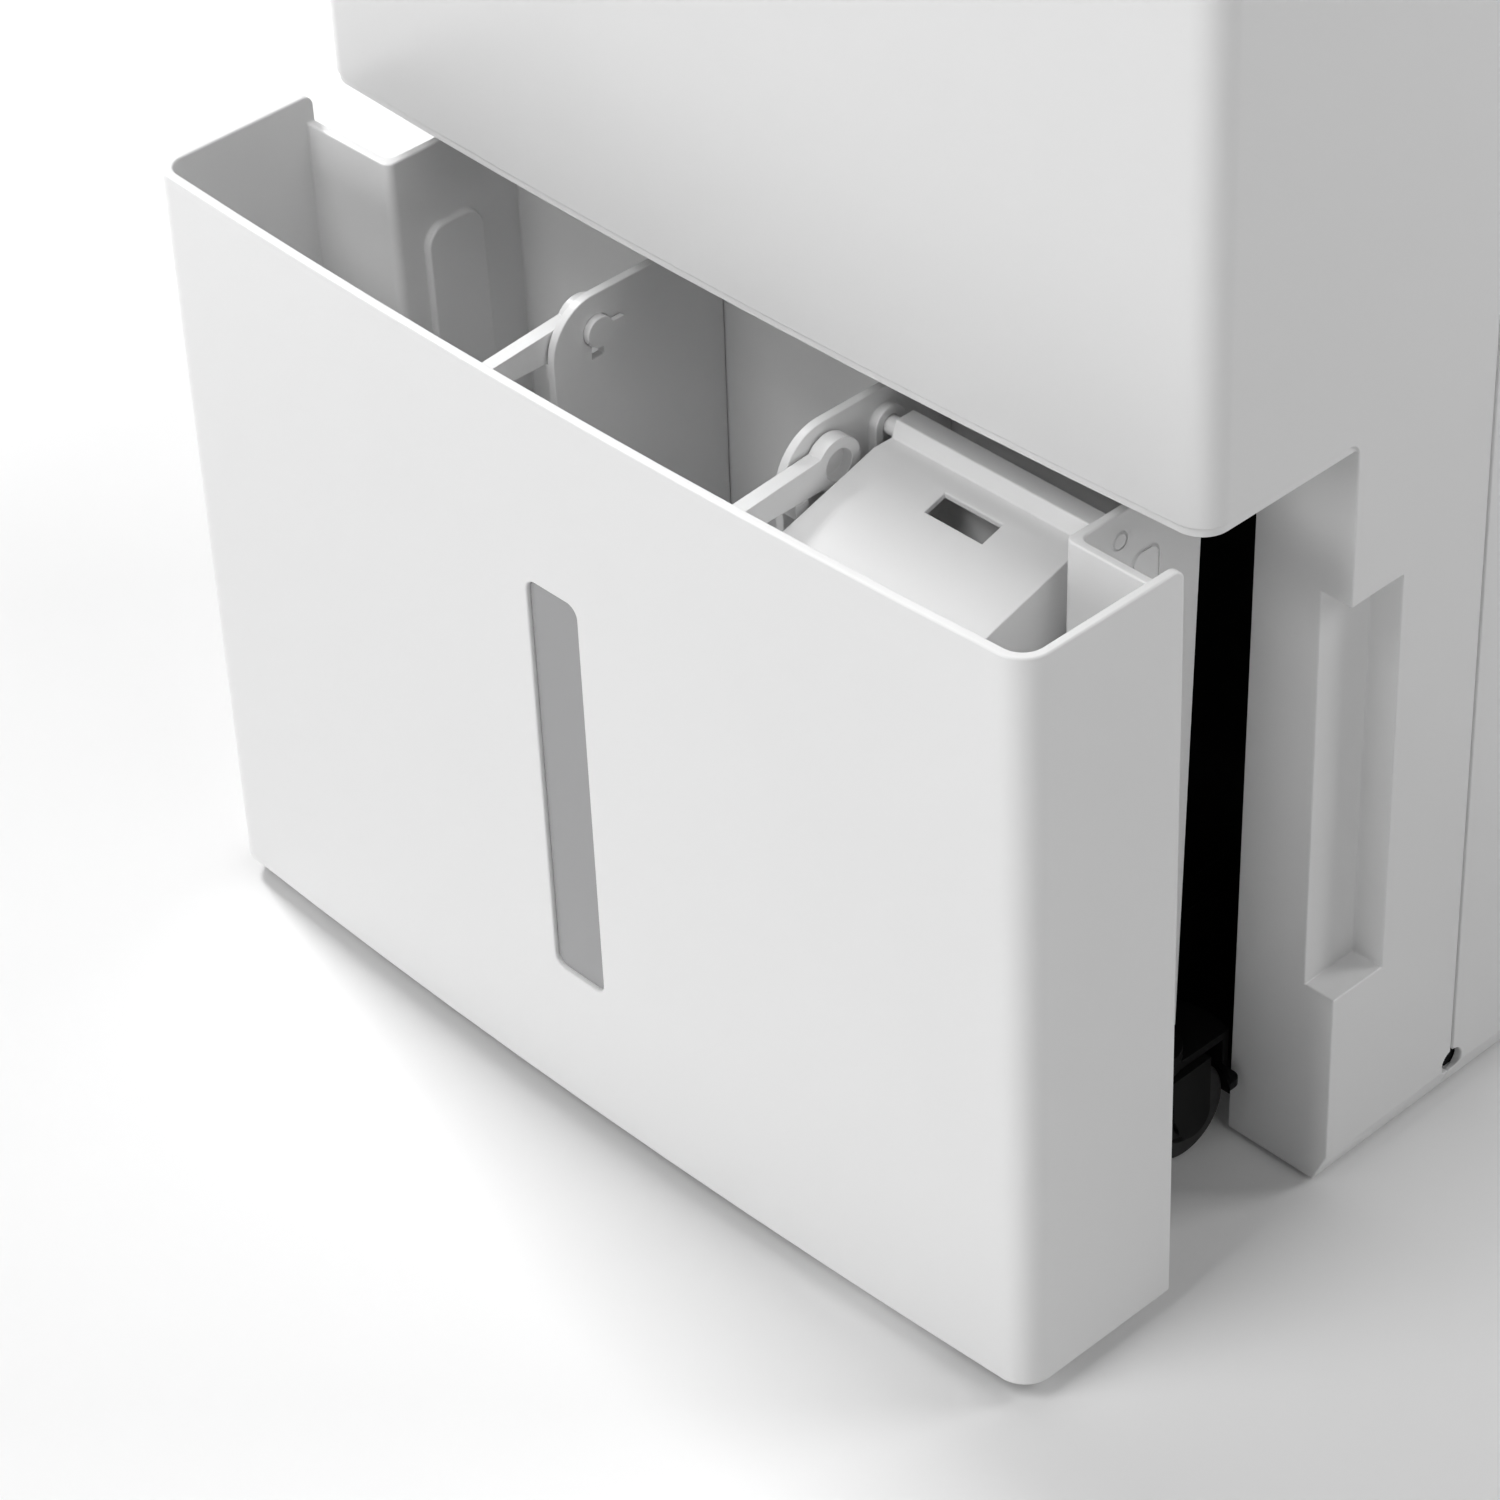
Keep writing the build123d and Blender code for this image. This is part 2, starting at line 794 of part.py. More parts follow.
def fan_wheel():
    """Drum of forward-curved blades between a back plate and a ring."""
    centre = (fan_x, fan_front, fan_z)
    wheel = rod(fan_radius, centre, (0, 1, 0), fan_plate) + rod(hub_radius, centre, (0, 1, 0), hub_length)
    ring_start = (fan_x, fan_front + fan_width - fan_ring, fan_z)
    ring = rod(fan_radius, ring_start, (0, 1, 0), fan_ring)
    ring -= rod(blade_inner_radius + fan_ring, ring_start, (0, 1, 0), fan_ring)
    blade = fan_blade()
    turn = 360.0 / blade_count
    blades = [Pos(fan_x, 0, fan_z) * Rot(0, step * turn, 0) * blade for step in range(blade_count)]
    wheel += [ring] + blades
    return wheel - rod(shaft_radius, centre, (0, 1, 0), hub_length)


def fan_motor():
    """Round motor on the scroll's front plate, bored for the shaft."""
    motor = rod(motor_radius, (fan_x, scroll_front, fan_z), (0, -1, 0), motor_length)
    motor = fillet(motor.edges().filter_by(GeomType.CIRCLE).group_by(Axis.Y)[0], motor_edge_radius)
    bore = shaft_radius + running_clearance
    return motor - rod(bore, (fan_x, scroll_front, fan_z), (0, -1, 0), shaft_in_motor + slip_fit)


def fan_shaft():
    """Steel shaft from the motor to the fan's hub."""
    start = (fan_x, scroll_front - shaft_in_motor, fan_z)
    return rod(shaft_radius, start, (0, 1, 0), fan_front + hub_length - start[1])


def base_pan():
    """Base plate with a skirt on the shell's foot, tank rails and caster wells."""
    rear_zone = block((-width, seam_y + slip_fit, 0), (width, depth, height))
    skirt_inset = wall + slip_fit
    plate = prism(housing_plan(skirt_inset), base_bottom, base_top) & rear_zone
    pan_half = pillar_inner_bottom - base_side_gap
    pan_front = front_face + front_bow + tank_wall + base_front_gap
    bay_zone = block((-pan_half, pan_front, 0), (pan_half, seam_y + wall, height))
    plate += block((-pan_half, pan_front, base_bottom), (pan_half, seam_y + wall, base_top))
    tabs = block((-base_tab_x, pan_front, base_bottom), (base_tab_x, pillar_face - base_tab_gap, base_top))
    plate += fillet(tabs.edges().filter_by(Axis.Z), base_tab_round)
    plate += block((-pan_half, apron_y, apron_low), (pan_half, apron_y + wall, base_top))
    plate += plan_ring(skirt_inset, skirt_inset + wall, foot_top, base_top) & rear_zone
    for side in (-1, 1):
        left = side * rail_x - rail_width / 2
        plate += block((left, pan_front, base_bottom), (left + rail_width, bay_rear, tank_floor_under))
    rear_room = prism(housing_plan(skirt_inset), 0, height) & rear_zone
    for x, y in stem_places().values():
        cup = rod(well_radius + well_wall, (x, y, base_bottom), (0, 0, 1), well_roof + wall - base_bottom)
        plate += cup & (bay_zone if y < 0 else rear_room)
        plate += rod(stem_radius + socket_wall, (x, y, well_roof), (0, 0, 1), stem_length + wall)
    for x, y in stem_places().values():
        plate -= rod(well_radius, (x, y, base_bottom), (0, 0, 1), well_roof - base_bottom)
        plate -= rod(stem_radius + running_clearance, (x, y, well_roof), (0, 0, 1), stem_length + slip_fit)
    return plate - screw_shanks(screw_radius)


def stem_places():
    """Caster names and the places of their swivel stems."""
    return {
        "front_left": (-caster_x, front_stem_y),
        "front_right": (caster_x, front_stem_y),
        "rear_left": (-caster_x, rear_stem_y),
        "rear_right": (caster_x, rear_stem_y),
    }


def caster_fork(x, y):
    """Fork with two tapering arms, its axle and its swivel stem."""
    axle_y = y + caster_trail
    inner_half = wheel_width / 2 + fork_gap
    outer_half = inner_half + fork_wall
    crown_top = crown_low + fork_crown
    side_view = Polygon(
        (axle_y - fork_boss_radius, wheel_radius), (axle_y + fork_boss_radius, wheel_radius),
        (axle_y + fork_boss_radius, crown_top), (y - collar_radius, crown_top),
        align=None,
    )
    left = (x - outer_half, axle_y, wheel_radius)
    fork = slab_x(side_view, x - outer_half, x + outer_half)
    fork += rod(fork_boss_radius, left, (1, 0, 0), 2 * outer_half)
    fork -= block((x - inner_half, y - depth, 0), (x + inner_half, y + depth, crown_low))
    fork += rod(axle_radius, left, (1, 0, 0), 2 * outer_half)
    return fork + [
        rod(collar_radius, (x, y, crown_low), (0, 0, 1), well_roof - crown_low),
        rod(stem_radius, (x, y, well_roof), (0, 0, 1), stem_length),
    ]


def caster_wheel(x, y):
    """Wheel with rounded tread edges, recessed sides and an axle bore."""
    axle = (y + caster_trail, wheel_radius)
    left = x - wheel_width / 2
    wheel = rod(wheel_radius, (left, *axle), (1, 0, 0), wheel_width)
    wheel = fillet(wheel.edges().filter_by(GeomType.CIRCLE), wheel_edge_radius)
    wheel -= rod(hub_recess_radius, (left, *axle), (1, 0, 0), hub_recess)
    wheel -= rod(hub_recess_radius, (left + wheel_width - hub_recess, *axle), (1, 0, 0), hub_recess)
    return wheel - rod(axle_radius + running_clearance, (left, *axle), (1, 0, 0), wheel_width)


def bay_liner():
    """Deck above the tank bay with the bay's rear wall hanging to the base."""
    deck = prism(housing_plan(2 * wall + slip_fit), deck_bottom, deck_top)
    deck -= block(
        (pipe_riser_x - pipe_hole_margin, condenser_y - pipe_hole_margin, deck_bottom),
        (pipe_riser_x + pipe_hole_margin, evaporator_y + pipe_hole_margin, deck_top),
    )
    deck -= rod(spout_radius + spout_hole_gap, (0, spout_y, deck_bottom), (0, 0, 1), deck_thickness)
    half = pillar_inner_bottom - base_side_gap
    return deck + block((-half, bay_rear, base_top), (half, bay_rear + deck_thickness, deck_bottom))


def level_sensor():
    """Magnet sensor on the back of the bay wall."""
    back = bay_rear + deck_thickness
    middle_x = (float_left + float_right) / 2
    middle_z = tank_floor_gap + float_bar_low - float_depth / 2
    half = sensor_size / 2
    low = (middle_x - half, back, middle_z - half)
    return block(low, (middle_x + half, back + sensor_depth, middle_z + half))


def drip_tray():
    """Tray under the coils with a chute and spout over the tank."""
    top = deck_top + tray_height
    floor = deck_top + tray_wall
    tray = block((-tray_half_width, tray_front, deck_top), (tray_half_width, tray_rear, top))
    chute_top = deck_top + chute_height
    tray += block((-chute_half_width, chute_front, deck_top), (chute_half_width, tray_front, chute_top))
    tray -= block(
        (-tray_half_width + tray_wall, tray_front + tray_wall, floor),
        (tray_half_width - tray_wall, tray_rear - tray_wall, top),
    )
    tray -= block(
        (-chute_half_width + tray_wall, chute_front + tray_wall, floor),
        (chute_half_width - tray_wall, tray_front + tray_wall, chute_top),
    )
    for side in (-1, 1):
        left = side * tray_rib_x - tray_rib_width / 2
        tray += block((left, tray_front, deck_top), (left + tray_rib_width, tray_rear, coil_bottom))
    tray += rod(spout_radius, (0, spout_y, deck_bottom), (0, 0, 1), deck_thickness + tray_wall)
    tray -= rod(spout_bore, (0, spout_y, deck_bottom), (0, 0, 1), deck_thickness + tray_wall)
    return tray - rod(spigot_bore, (spigot_x, tray_rear - tray_wall, spigot_z), (0, 1, 0), tray_wall)


def coil_fins(centre_y):
    """Fin pack with grooves between the fins on both faces."""
    front = centre_y - coil_depth / 2
    rear = centre_y + coil_depth / 2
    pack = block((-coil_half_width, front, coil_bottom), (coil_half_width, rear, coil_top))
    grooves = []
    count = int(2 * coil_half_width / fin_pitch) - 1
    for step in range(count):
        x = (step - (count - 1) / 2) * fin_pitch
        for y in (front, rear - fin_cut):
            low = (x - fin_groove / 2, y, coil_bottom)
            grooves.append(block(low, (x + fin_groove / 2, y + fin_cut, coil_top)))
    return pack - grooves


def coil_tube_z(index):
    """Height of one tube of a coil."""
    return coil_bottom + (index + 0.5) * coil_tube_pitch


def coil_bends(centre_y):
    """Return bends at both ends of a coil."""
    bends = []
    for index in range(coil_tubes - 1):
        side = 1 if index % 2 else -1
        start = Plane(origin=(side * coil_half_width, centre_y, coil_tube_z(index)), z_dir=(side, 0, 0))
        middle = (side * coil_half_width, centre_y, coil_tube_z(index + 0.5))
        turn = Axis(middle, (0, -side, 0))
        bends.append(revolve(start * Circle(coil_tube_radius), axis=turn, revolution_arc=180))
    return Compound(bends)


def lug_places():
    """Plan places of the compressor's three mounting bolts."""
    angles = (90.0, 210.0, 330.0)
    return [
        (
            compressor_x + lug_circle * math.cos(math.radians(angle)),
            compressor_y + lug_circle * math.sin(math.radians(angle)),
            angle,
        )
        for angle in angles
    ]


def compressor():
    """Domed can on a three-lugged foot with its two ports."""
    can_low = compressor_low + lug_thickness
    centre = (compressor_x, compressor_y, can_low)
    can = rod(compressor_radius, centre, (0, 0, 1), compressor_height)
    can = fillet(can.edges().filter_by(GeomType.CIRCLE), compressor_dome)
    foot = (compressor_x, compressor_y, compressor_low)
    can += rod(compressor_radius - compressor_dome / 2, foot, (0, 0, 1), compressor_dome)
    for _, _, angle in lug_places():
        lug = block((0, -lug_width / 2, 0), (lug_reach, lug_width / 2, lug_thickness))
        can += Pos(compressor_x, compressor_y, compressor_low) * Rot(0, 0, angle) * lug
    for x, y, _ in lug_places():
        can -= rod(bolt_radius + bolt_gap, (x, y, compressor_low), (0, 0, 1), lug_thickness)
    port = (compressor_x, condenser_y, port_z)
    can += rod(discharge_radius, port, (1, 0, 0), compressor_radius + port_reach)
    suction_start = (compressor_x, compressor_y, accumulator_low - pipe_bend)
    return can + rod(suction_radius, suction_start, (1, 0, 0), compressor_radius + suction_radius)


def compressor_grommets():
    """Rubber sleeves under the compressor's lugs."""
    sleeves = []
    for x, y, _ in lug_places():
        sleeve = rod(grommet_radius, (x, y, base_top), (0, 0, 1), grommet_height)
        sleeves.append(sleeve - rod(bolt_radius + bolt_gap, (x, y, base_top), (0, 0, 1), grommet_height))
    return Compound(sleeves)


def compressor_bolts():
    """Bolts through the lugs and sleeves."""
    bolts = []
    for x, y, _ in lug_places():
        head_low = compressor_low + lug_thickness
        bolt = rod(bolt_radius, (x, y, base_top), (0, 0, 1), head_low - base_top)
        bolts.append(bolt + rod(bolt_head_radius, (x, y, head_low), (0, 0, 1), bolt_head))
    return Compound(bolts)


def accumulator():
    """Suction accumulator with the elbow that feeds the compressor."""
    foot = (accumulator_x, compressor_y, accumulator_low)
    vessel = rod(accumulator_radius, foot, (0, 0, 1), accumulator_top - accumulator_low)
    vessel = fillet(vessel.edges().filter_by(GeomType.CIRCLE), accumulator_dome)
    elbow_z = accumulator_low - pipe_bend
    elbow_points = [
        (compressor_x + compressor_radius + suction_radius, compressor_y, elbow_z),
        (accumulator_x, compressor_y, elbow_z),
        (accumulator_x, compressor_y, accumulator_low + accumulator_dome),
    ]
    return vessel + pipe(suction_radius, pipe_bend / 2, elbow_points)


def discharge_pipe():
    """Hot gas line from the compressor to the condenser."""
    points = [
        (compressor_x + compressor_radius + port_reach, condenser_y, port_z),
        (pipe_riser_x, condenser_y, port_z),
        (pipe_riser_x, condenser_y, coil_tube_z(0)),
        (coil_half_width, condenser_y, coil_tube_z(0)),
    ]
    return pipe(discharge_radius, 2 * discharge_radius, points)


def suction_pipe():
    """Cold gas line from the evaporator down to the accumulator."""
    run_z = accumulator_top + pipe_bend + suction_radius
    points = [
        (coil_half_width, evaporator_y, coil_tube_z(0)),
        (pipe_riser_x, evaporator_y, coil_tube_z(0)),
        (pipe_riser_x, evaporator_y, run_z),
        (accumulator_x, compressor_y, run_z),
        (accumulator_x, compressor_y, accumulator_top),
    ]
    return pipe(suction_radius, pipe_bend, points)


def drier_span():
    """Ends of the filter drier between the coils."""
    return condenser_y + pipe_bend / 2, evaporator_y - pipe_bend / 2


def filter_drier():
    """Drier capsule in the liquid line."""
    front, rear = drier_span()
    start = (liquid_riser_x, front, coil_tube_z(coil_tubes - 1))
    capsule = rod(drier_radius, start, (0, 1, 0), rear - front)
    return fillet(capsule.edges().filter_by(GeomType.CIRCLE), drier_radius / 3)


def liquid_line():
    """Liquid tubes from the condenser to the drier and on to the evaporator."""
    front, rear = drier_span()
    z = coil_tube_z(coil_tubes - 1)
    lines = []
    for coil_y, end_y in ((condenser_y, front), (evaporator_y, rear)):
        points = [(coil_half_width, coil_y, z), (liquid_riser_x, coil_y, z), (liquid_riser_x, end_y, z)]
        lines.append(pipe(liquid_radius, liquid_bend, points))
    return Compound(lines)


def intake_grille():
    """Rear filter frame with level slats and a finger notch for pulling."""
    left = -intake_half_width + intake_gap
    right = intake_half_width - intake_gap
    top = intake_high - intake_gap
    front = rear_face - intake_depth
    frame = block((left, front, intake_low), (right, rear_face, top))
    window = block(
        (left + grille_border, front, intake_low + grille_border),
        (right - grille_border, rear_face, top - grille_border - pull_notch_height),
    )
    frame -= window
    slats = []
    count = int((intake_high - intake_low - 2 * grille_border - pull_notch_height) / intake_pitch)
    for step in range(1, count):
        z = intake_low + grille_border + step * intake_pitch
        low = (left, front + mesh_thickness, z - intake_slat / 2)
        slats.append(block(low, (right, rear_face, z + intake_slat / 2)))
    rib_count = int(intake_half_width / intake_rib_spacing)
    for step in range(-rib_count, rib_count + 1):
        x = step * intake_rib_spacing
        low = (x - intake_slat / 2, front, intake_low)
        slats.append(block(low, (x + intake_slat / 2, rear_face - mesh_thickness, top)))
    notch_half = pull_notch_width / 2
    notch_low = top - grille_border / 2 - pull_notch_height
    notch = block(
        (-notch_half, front + mesh_thickness, notch_low), (notch_half, rear_face, top - grille_border / 2)
    )
    return frame + slats - notch


def filter_mesh():
    """Filter screen behind the intake frame."""
    rear = rear_face - intake_depth
    return block(
        (-intake_half_width + grille_border, rear - mesh_thickness, intake_low + grille_border),
        (intake_half_width - grille_border, rear, intake_high - grille_border),
    )


def drain_spigot():
    """Hose spigot from the tray through the back face."""
    start = (spigot_x, tray_rear, spigot_z)
    length = rear_face + spigot_reach - tray_rear
    spigot = rod(spigot_radius, start, (0, 1, 0), length)
    spigot += rod(spigot_radius + spigot_neck, start, (0, 1, 0), rear_face - tray_rear)
    flange_front = (spigot_x, rear_face - 2 * wall, spigot_z)
    spigot += rod(spigot_flange, flange_front, (0, 1, 0), wall)
    return spigot - rod(spigot_bore, start, (0, 1, 0), length)


def drain_plug():
    """Plug that closes the spigot until a hose is used."""
    mouth = (spigot_x, rear_face + spigot_reach, spigot_z)
    shank = rod(spigot_bore - running_clearance, mouth, (0, -1, 0), plug_length)
    return shank + rod(plug_head_radius, mouth, (0, 1, 0), plug_head)


def cord_inlet():
    """Bush in the back face where the mains lead would enter."""
    start = (cord_inlet_x, rear_face - wall, cord_inlet_z)
    bush = rod(cord_inlet_radius, start, (0, 1, 0), wall + cord_inlet_proud)
    bush += rod(cord_inlet_flange, (cord_inlet_x, rear_face, cord_inlet_z), (0, 1, 0), cord_inlet_proud)
    return bush - rod(cord_inlet_bore, start, (0, 1, 0), wall + cord_inlet_proud)


def cover_plan(inset, rear):
    """Plan of the tank's bowed front and side wings."""
    radius = max(front_corner_radius - inset, least_radius)
    return bowed_plan(half_width - inset, inset, rear, radius)


def bucket_draft(z):
    """Half width and rear of the tank's narrow part at a height."""
    share = (z - tank_floor_height) / (tank_rim - tank_floor_height)
    half = tank_half_bottom + share * (tank_half_top - tank_half_bottom)
    rear = tank_rear_bottom + share * (tank_rear_top - tank_rear_bottom)
    return half, rear


def bucket_plan(z, inset):
    """Stepped plan of the tank behind its front, at one height."""
    half, rear = bucket_draft(z)
    half -= inset
    rear -= inset
    wide = half_width - inset
    cross = tank_wing - inset
    with BuildSketch(Plane.XY.offset(z)) as plan:
        with BuildLine():
            Polyline(
                (-wide, 0), (wide, 0), (wide, cross), (half, cross), (half, rear),
                (-half, rear), (-half, cross), (-wide, cross),
                close=True,
            )
        make_face()
        steps = plan.vertices().filter_by(lambda corner: abs(abs(corner.X) - half) < least_radius / 2)
        inner = [corner for corner in steps if abs(corner.Y - cross) < least_radius / 2]
        outer = [corner for corner in steps if abs(corner.Y - rear) < least_radius / 2]
        fillet(inner, tank_step_radius)
        fillet(outer, tank_corner_radius)
    return plan.sketch


def wall_strip(front, rear, top, inner, outer):
    """Upright strip with a rounded head on the right side wall of the tank."""
    half_low, _ = bucket_draft(tank_floor_height)
    half_high, _ = bucket_draft(top)
    profile = Polygon(
        (half_low - inner, tank_floor_height), (half_low + outer, tank_floor_height),
        (half_high + outer, top), (half_high - inner, top),
        align=None,
    )
    strip = slab_y(profile, front, rear)
    return fillet(strip.edges().filter_by(Axis.X).group_by(Axis.Z)[-1], (rear - front) / 3)


def tank_pads():
    """Pads inside the tank's side walls, and a guide strip and a boss outside them."""
    pad = wall_strip(tank_pad_front, tank_pad_rear, tank_pad_top, tank_wall + tank_pad_proud, 0)
    guide = wall_strip(tank_guide_front, tank_guide_rear, tank_guide_top, tank_wall / 2, tank_guide_proud)
    half, _ = bucket_draft(tank_boss_z)
    start = (half - tank_wall / 2, tank_boss_y, tank_boss_z)
    boss = rod(tank_boss_radius, start, (1, 0, 0), tank_wall / 2 + tank_guide_proud)
    return [piece for part in (pad, guide, boss) for piece in both_sides(part)]


def float_guides():
    """Bearing block for the float's right pin, inside the tank's right wall."""
    half, _ = bucket_draft(float_pin_z)
    reach = float_pin_radius + float_guide_wall
    left = float_right + float_guide_wall
    guide = block(
        (left, float_pin_y - reach, float_pin_z - reach),
        (half - tank_wall / 2, float_pin_y + reach, float_pin_z + reach),
    )
    start = (left, float_pin_y, float_pin_z)
    return guide - rod(float_pin_radius + pivot_clearance, start, (1, 0, 0), float_guide_wall)


def window_cut(grow, front, rear):
    """Upright window outline with rounded corners, through part of the front wall."""
    centre_z = (window_low + window_high) / 2
    face = RectangleRounded(
        window_width + 2 * grow, window_high - window_low + 2 * grow, window_corner + grow
    )
    return slab_y(Pos(window_x, centre_z) * face, front, rear)


def tank_cover():
    """Bowed front of the tank with its side wings."""
    cover = prism(cover_plan(0, tank_wing), 0, tank_height)
    cover -= prism(cover_plan(tank_wall, 2 * tank_wing), 0, tank_height)
    rear_corners = [
        edge
        for edge in cover.edges().filter_by(Axis.X)
        if edge.center().Y > tank_wing - least_radius and edge.center().Z > tank_height - least_radius
    ]
    cover = fillet(rear_corners, tank_wing_corner)
    return cover - window_cut(0, -front_bow, tank_wall + front_bow)


def tank_body():
    """Tank moulding: the front with its wings and the stepped bucket behind them."""
    outside = loft([bucket_plan(tank_floor_height, 0), bucket_plan(tank_rim, 0)], ruled=True)
    outside &= prism(cover_plan(tank_wall / 2, depth), 0, tank_height)
    floor_top = tank_floor_height + tank_wall
    inside = loft([bucket_plan(floor_top, tank_wall), bucket_plan(tank_rim, tank_wall)], ruled=True)
    inside &= prism(cover_plan(tank_wall, depth), 0, tank_height)
    bucket = outside - inside - window_cut(0, -front_bow, tank_wall + front_bow)
    return tank_place * (tank_cover() + bucket + tank_pads() + float_guides())


def level_window():
    """Clear strip set into the tank's front with a flange behind the wall."""
    back = tank_wall + window_flange
    pane = window_cut(-slip_fit, window_recess, back)
    flange = window_cut(window_flange, tank_wall, back) - tank_cover()
    over_floor = block((-width, 0, window_low - window_sill), (width, depth, tank_height))
    return tank_place * (pane + (flange & over_floor))


def handle_plate(side):
    """Upright plate in the tank that carries one end of the handle."""
    _, rear_low = bucket_draft(tank_floor_height + tank_wall)
    _, rear_high = bucket_draft(plate_top)
    floor_top = tank_floor_height + tank_wall
    with BuildSketch() as face:
        with BuildLine():
            Polyline(
                (plate_front, floor_top), (rear_low - tank_wall - slip_fit, floor_top),
                (rear_high - tank_wall - slip_fit, plate_top), (plate_front, plate_top),
                close=True,
            )
        make_face()
        corner = face.vertices().sort_by(lambda point: point.Y - point.X)[-1]
        fillet(corner, plate_round)
    left = side * plate_centre - plate_thickness / 2
    right = left + plate_thickness
    plate = slab_x(face.sketch, left, right)
    plate -= rod(pivot_radius + pivot_clearance, (left, pivot_y, pivot_z), (1, 0, 0), plate_thickness)
    key_half = key_width / 2 + key_clearance
    keyway = block(
        (left, pivot_y - key_half, pivot_z - key_reach - key_clearance), (right, pivot_y + key_half, pivot_z)
    )
    plate -= keyway
    arm_side = right if side > 0 else left
    tab_end = arm_side + side * (arm_gap + arm_thickness)
    tab_top = pivot_z - arm_width / 2
    tab_left, tab_right = sorted((arm_side, tab_end))
    plate += block(
        (tab_left, plate_front, tab_top - stop_tab), (tab_right, plate_front + stop_tab, tab_top)
    )
    if side > 0:
        plate += float_hook(right)
    return tank_place * plate


def float_hook(face_x):
    """Inverted-U rib that holds the float's left pin."""
    reach = float_pin_radius + float_guide_wall
    hook = rod(reach, (face_x, float_pin_y, float_pin_z), (1, 0, 0), float_guide_wall)
    low = (face_x, float_pin_y - reach, float_pin_z - 3 * reach)
    hook += block(low, (face_x + float_guide_wall, float_pin_y + reach, float_pin_z))
    slot = float_pin_radius + pivot_clearance
    hook -= rod(slot, (face_x, float_pin_y, float_pin_z), (1, 0, 0), float_guide_wall)
    low = (face_x, float_pin_y - slot, float_pin_z - 3 * reach)
    return hook - block(low, (face_x + float_guide_wall, float_pin_y + slot, float_pin_z))


def tank_handle():
    """Folding handle: crossbar, two arms with hollow bosses and keyed pins."""
    arm_inner = plate_centre + plate_thickness / 2 + arm_gap
    arm_outer = arm_inner + arm_thickness
    bar_y = pivot_y - handle_reach
    with BuildSketch() as side_view:
        with BuildLine():
            Polyline(
                (pivot_y, pivot_z - arm_width / 2), (pivot_y, pivot_z + arm_width / 2),
                (bar_y, pivot_z + arm_width / 2 - handle_rest_drop),
                (bar_y, pivot_z - arm_width / 2),
                close=True,
            )
        make_face()
    arm = slab_x(side_view.sketch, arm_inner, arm_outer)
    arm += rod(arm_boss_radius, (arm_inner, pivot_y, pivot_z), (1, 0, 0), arm_thickness)
    hollow_depth = arm_thickness - plate_thickness / 2
    arm -= rod(arm_boss_hollow, (arm_outer - hollow_depth, pivot_y, pivot_z), (1, 0, 0), hollow_depth)
    pin_end = plate_centre - plate_thickness / 2 - key_clearance - key_width / 2
    arm += rod(pivot_radius, (pin_end, pivot_y, pivot_z), (1, 0, 0), arm_inner - pin_end)
    key_half = key_width / 2
    arm += block(
        (pin_end, pivot_y, pivot_z - key_half),
        (pin_end + key_half, pivot_y + key_reach, pivot_z + key_half),
    )
    bar_top = pivot_z + arm_width / 2 - handle_rest_drop
    bar = block(
        (-arm_outer, bar_y - handle_bar_width / 2, pivot_z - arm_width / 2),
        (arm_outer, bar_y + handle_bar_width / 2, bar_top),
    )
    bar = fillet(bar.edges().filter_by(Axis.X), (bar_top - pivot_z + arm_width / 2) / 3)
    return tank_place * (bar + both_sides(arm))


def float_profile(inset):
    """Side view of the float: flat band behind, slope to the nose in front."""
    under = float_band_z - float_depth
    return Polygon(
        (float_front + inset, under - inset), (float_rear - inset, under - inset),
        (float_rear - inset, float_band_z - inset), (float_band_front, float_band_z - inset),
        (float_front + inset, float_nose_z - inset),
        align=None,
    )


def tank_float():
    """Hollow float, open below, with a hinge bar, end pins and a slot."""
    box = slab_x(float_profile(0), float_left, float_right)
    box -= slab_x(float_profile(float_wall), float_left + float_wall, float_right - float_wall)
    bar_face = Polygon(
        (float_bar_front, float_bar_low), (float_bar_rear, float_bar_low), (float_bar_rear, float_bar_top),
        (float_bar_front + float_wall, float_bar_top), (float_bar_front, float_band_z),
        align=None,
    )
    box += slab_x(bar_face, float_left, float_right)
    pin_left = plate_centre + plate_thickness / 2 + slip_fit
    pin_right = float_right + 2 * float_guide_wall - slip_fit
    box += rod(float_pin_radius, (pin_left, float_pin_y, float_pin_z), (1, 0, 0), pin_right - pin_left)
    half = float_slot_width / 2
    deep = float_slot_depth / 2
    box -= block(
        (float_slot_x - half, float_slot_y - deep, float_band_z - 4 * float_wall),
        (float_slot_x + half, float_slot_y + deep, float_bar_top),
    )
    return tank_place * box


def float_magnet():
    """Magnet on the inside of the float's rear wall."""
    middle_x = (float_left + float_right) / 2
    rear = float_rear - float_wall
    middle_z = float_bar_low - float_depth / 2
    low = (middle_x - magnet_width / 2, rear - magnet_thickness, middle_z - magnet_height / 2)
    return tank_place * block(low, (middle_x + magnet_width / 2, rear, middle_z + magnet_height / 2))


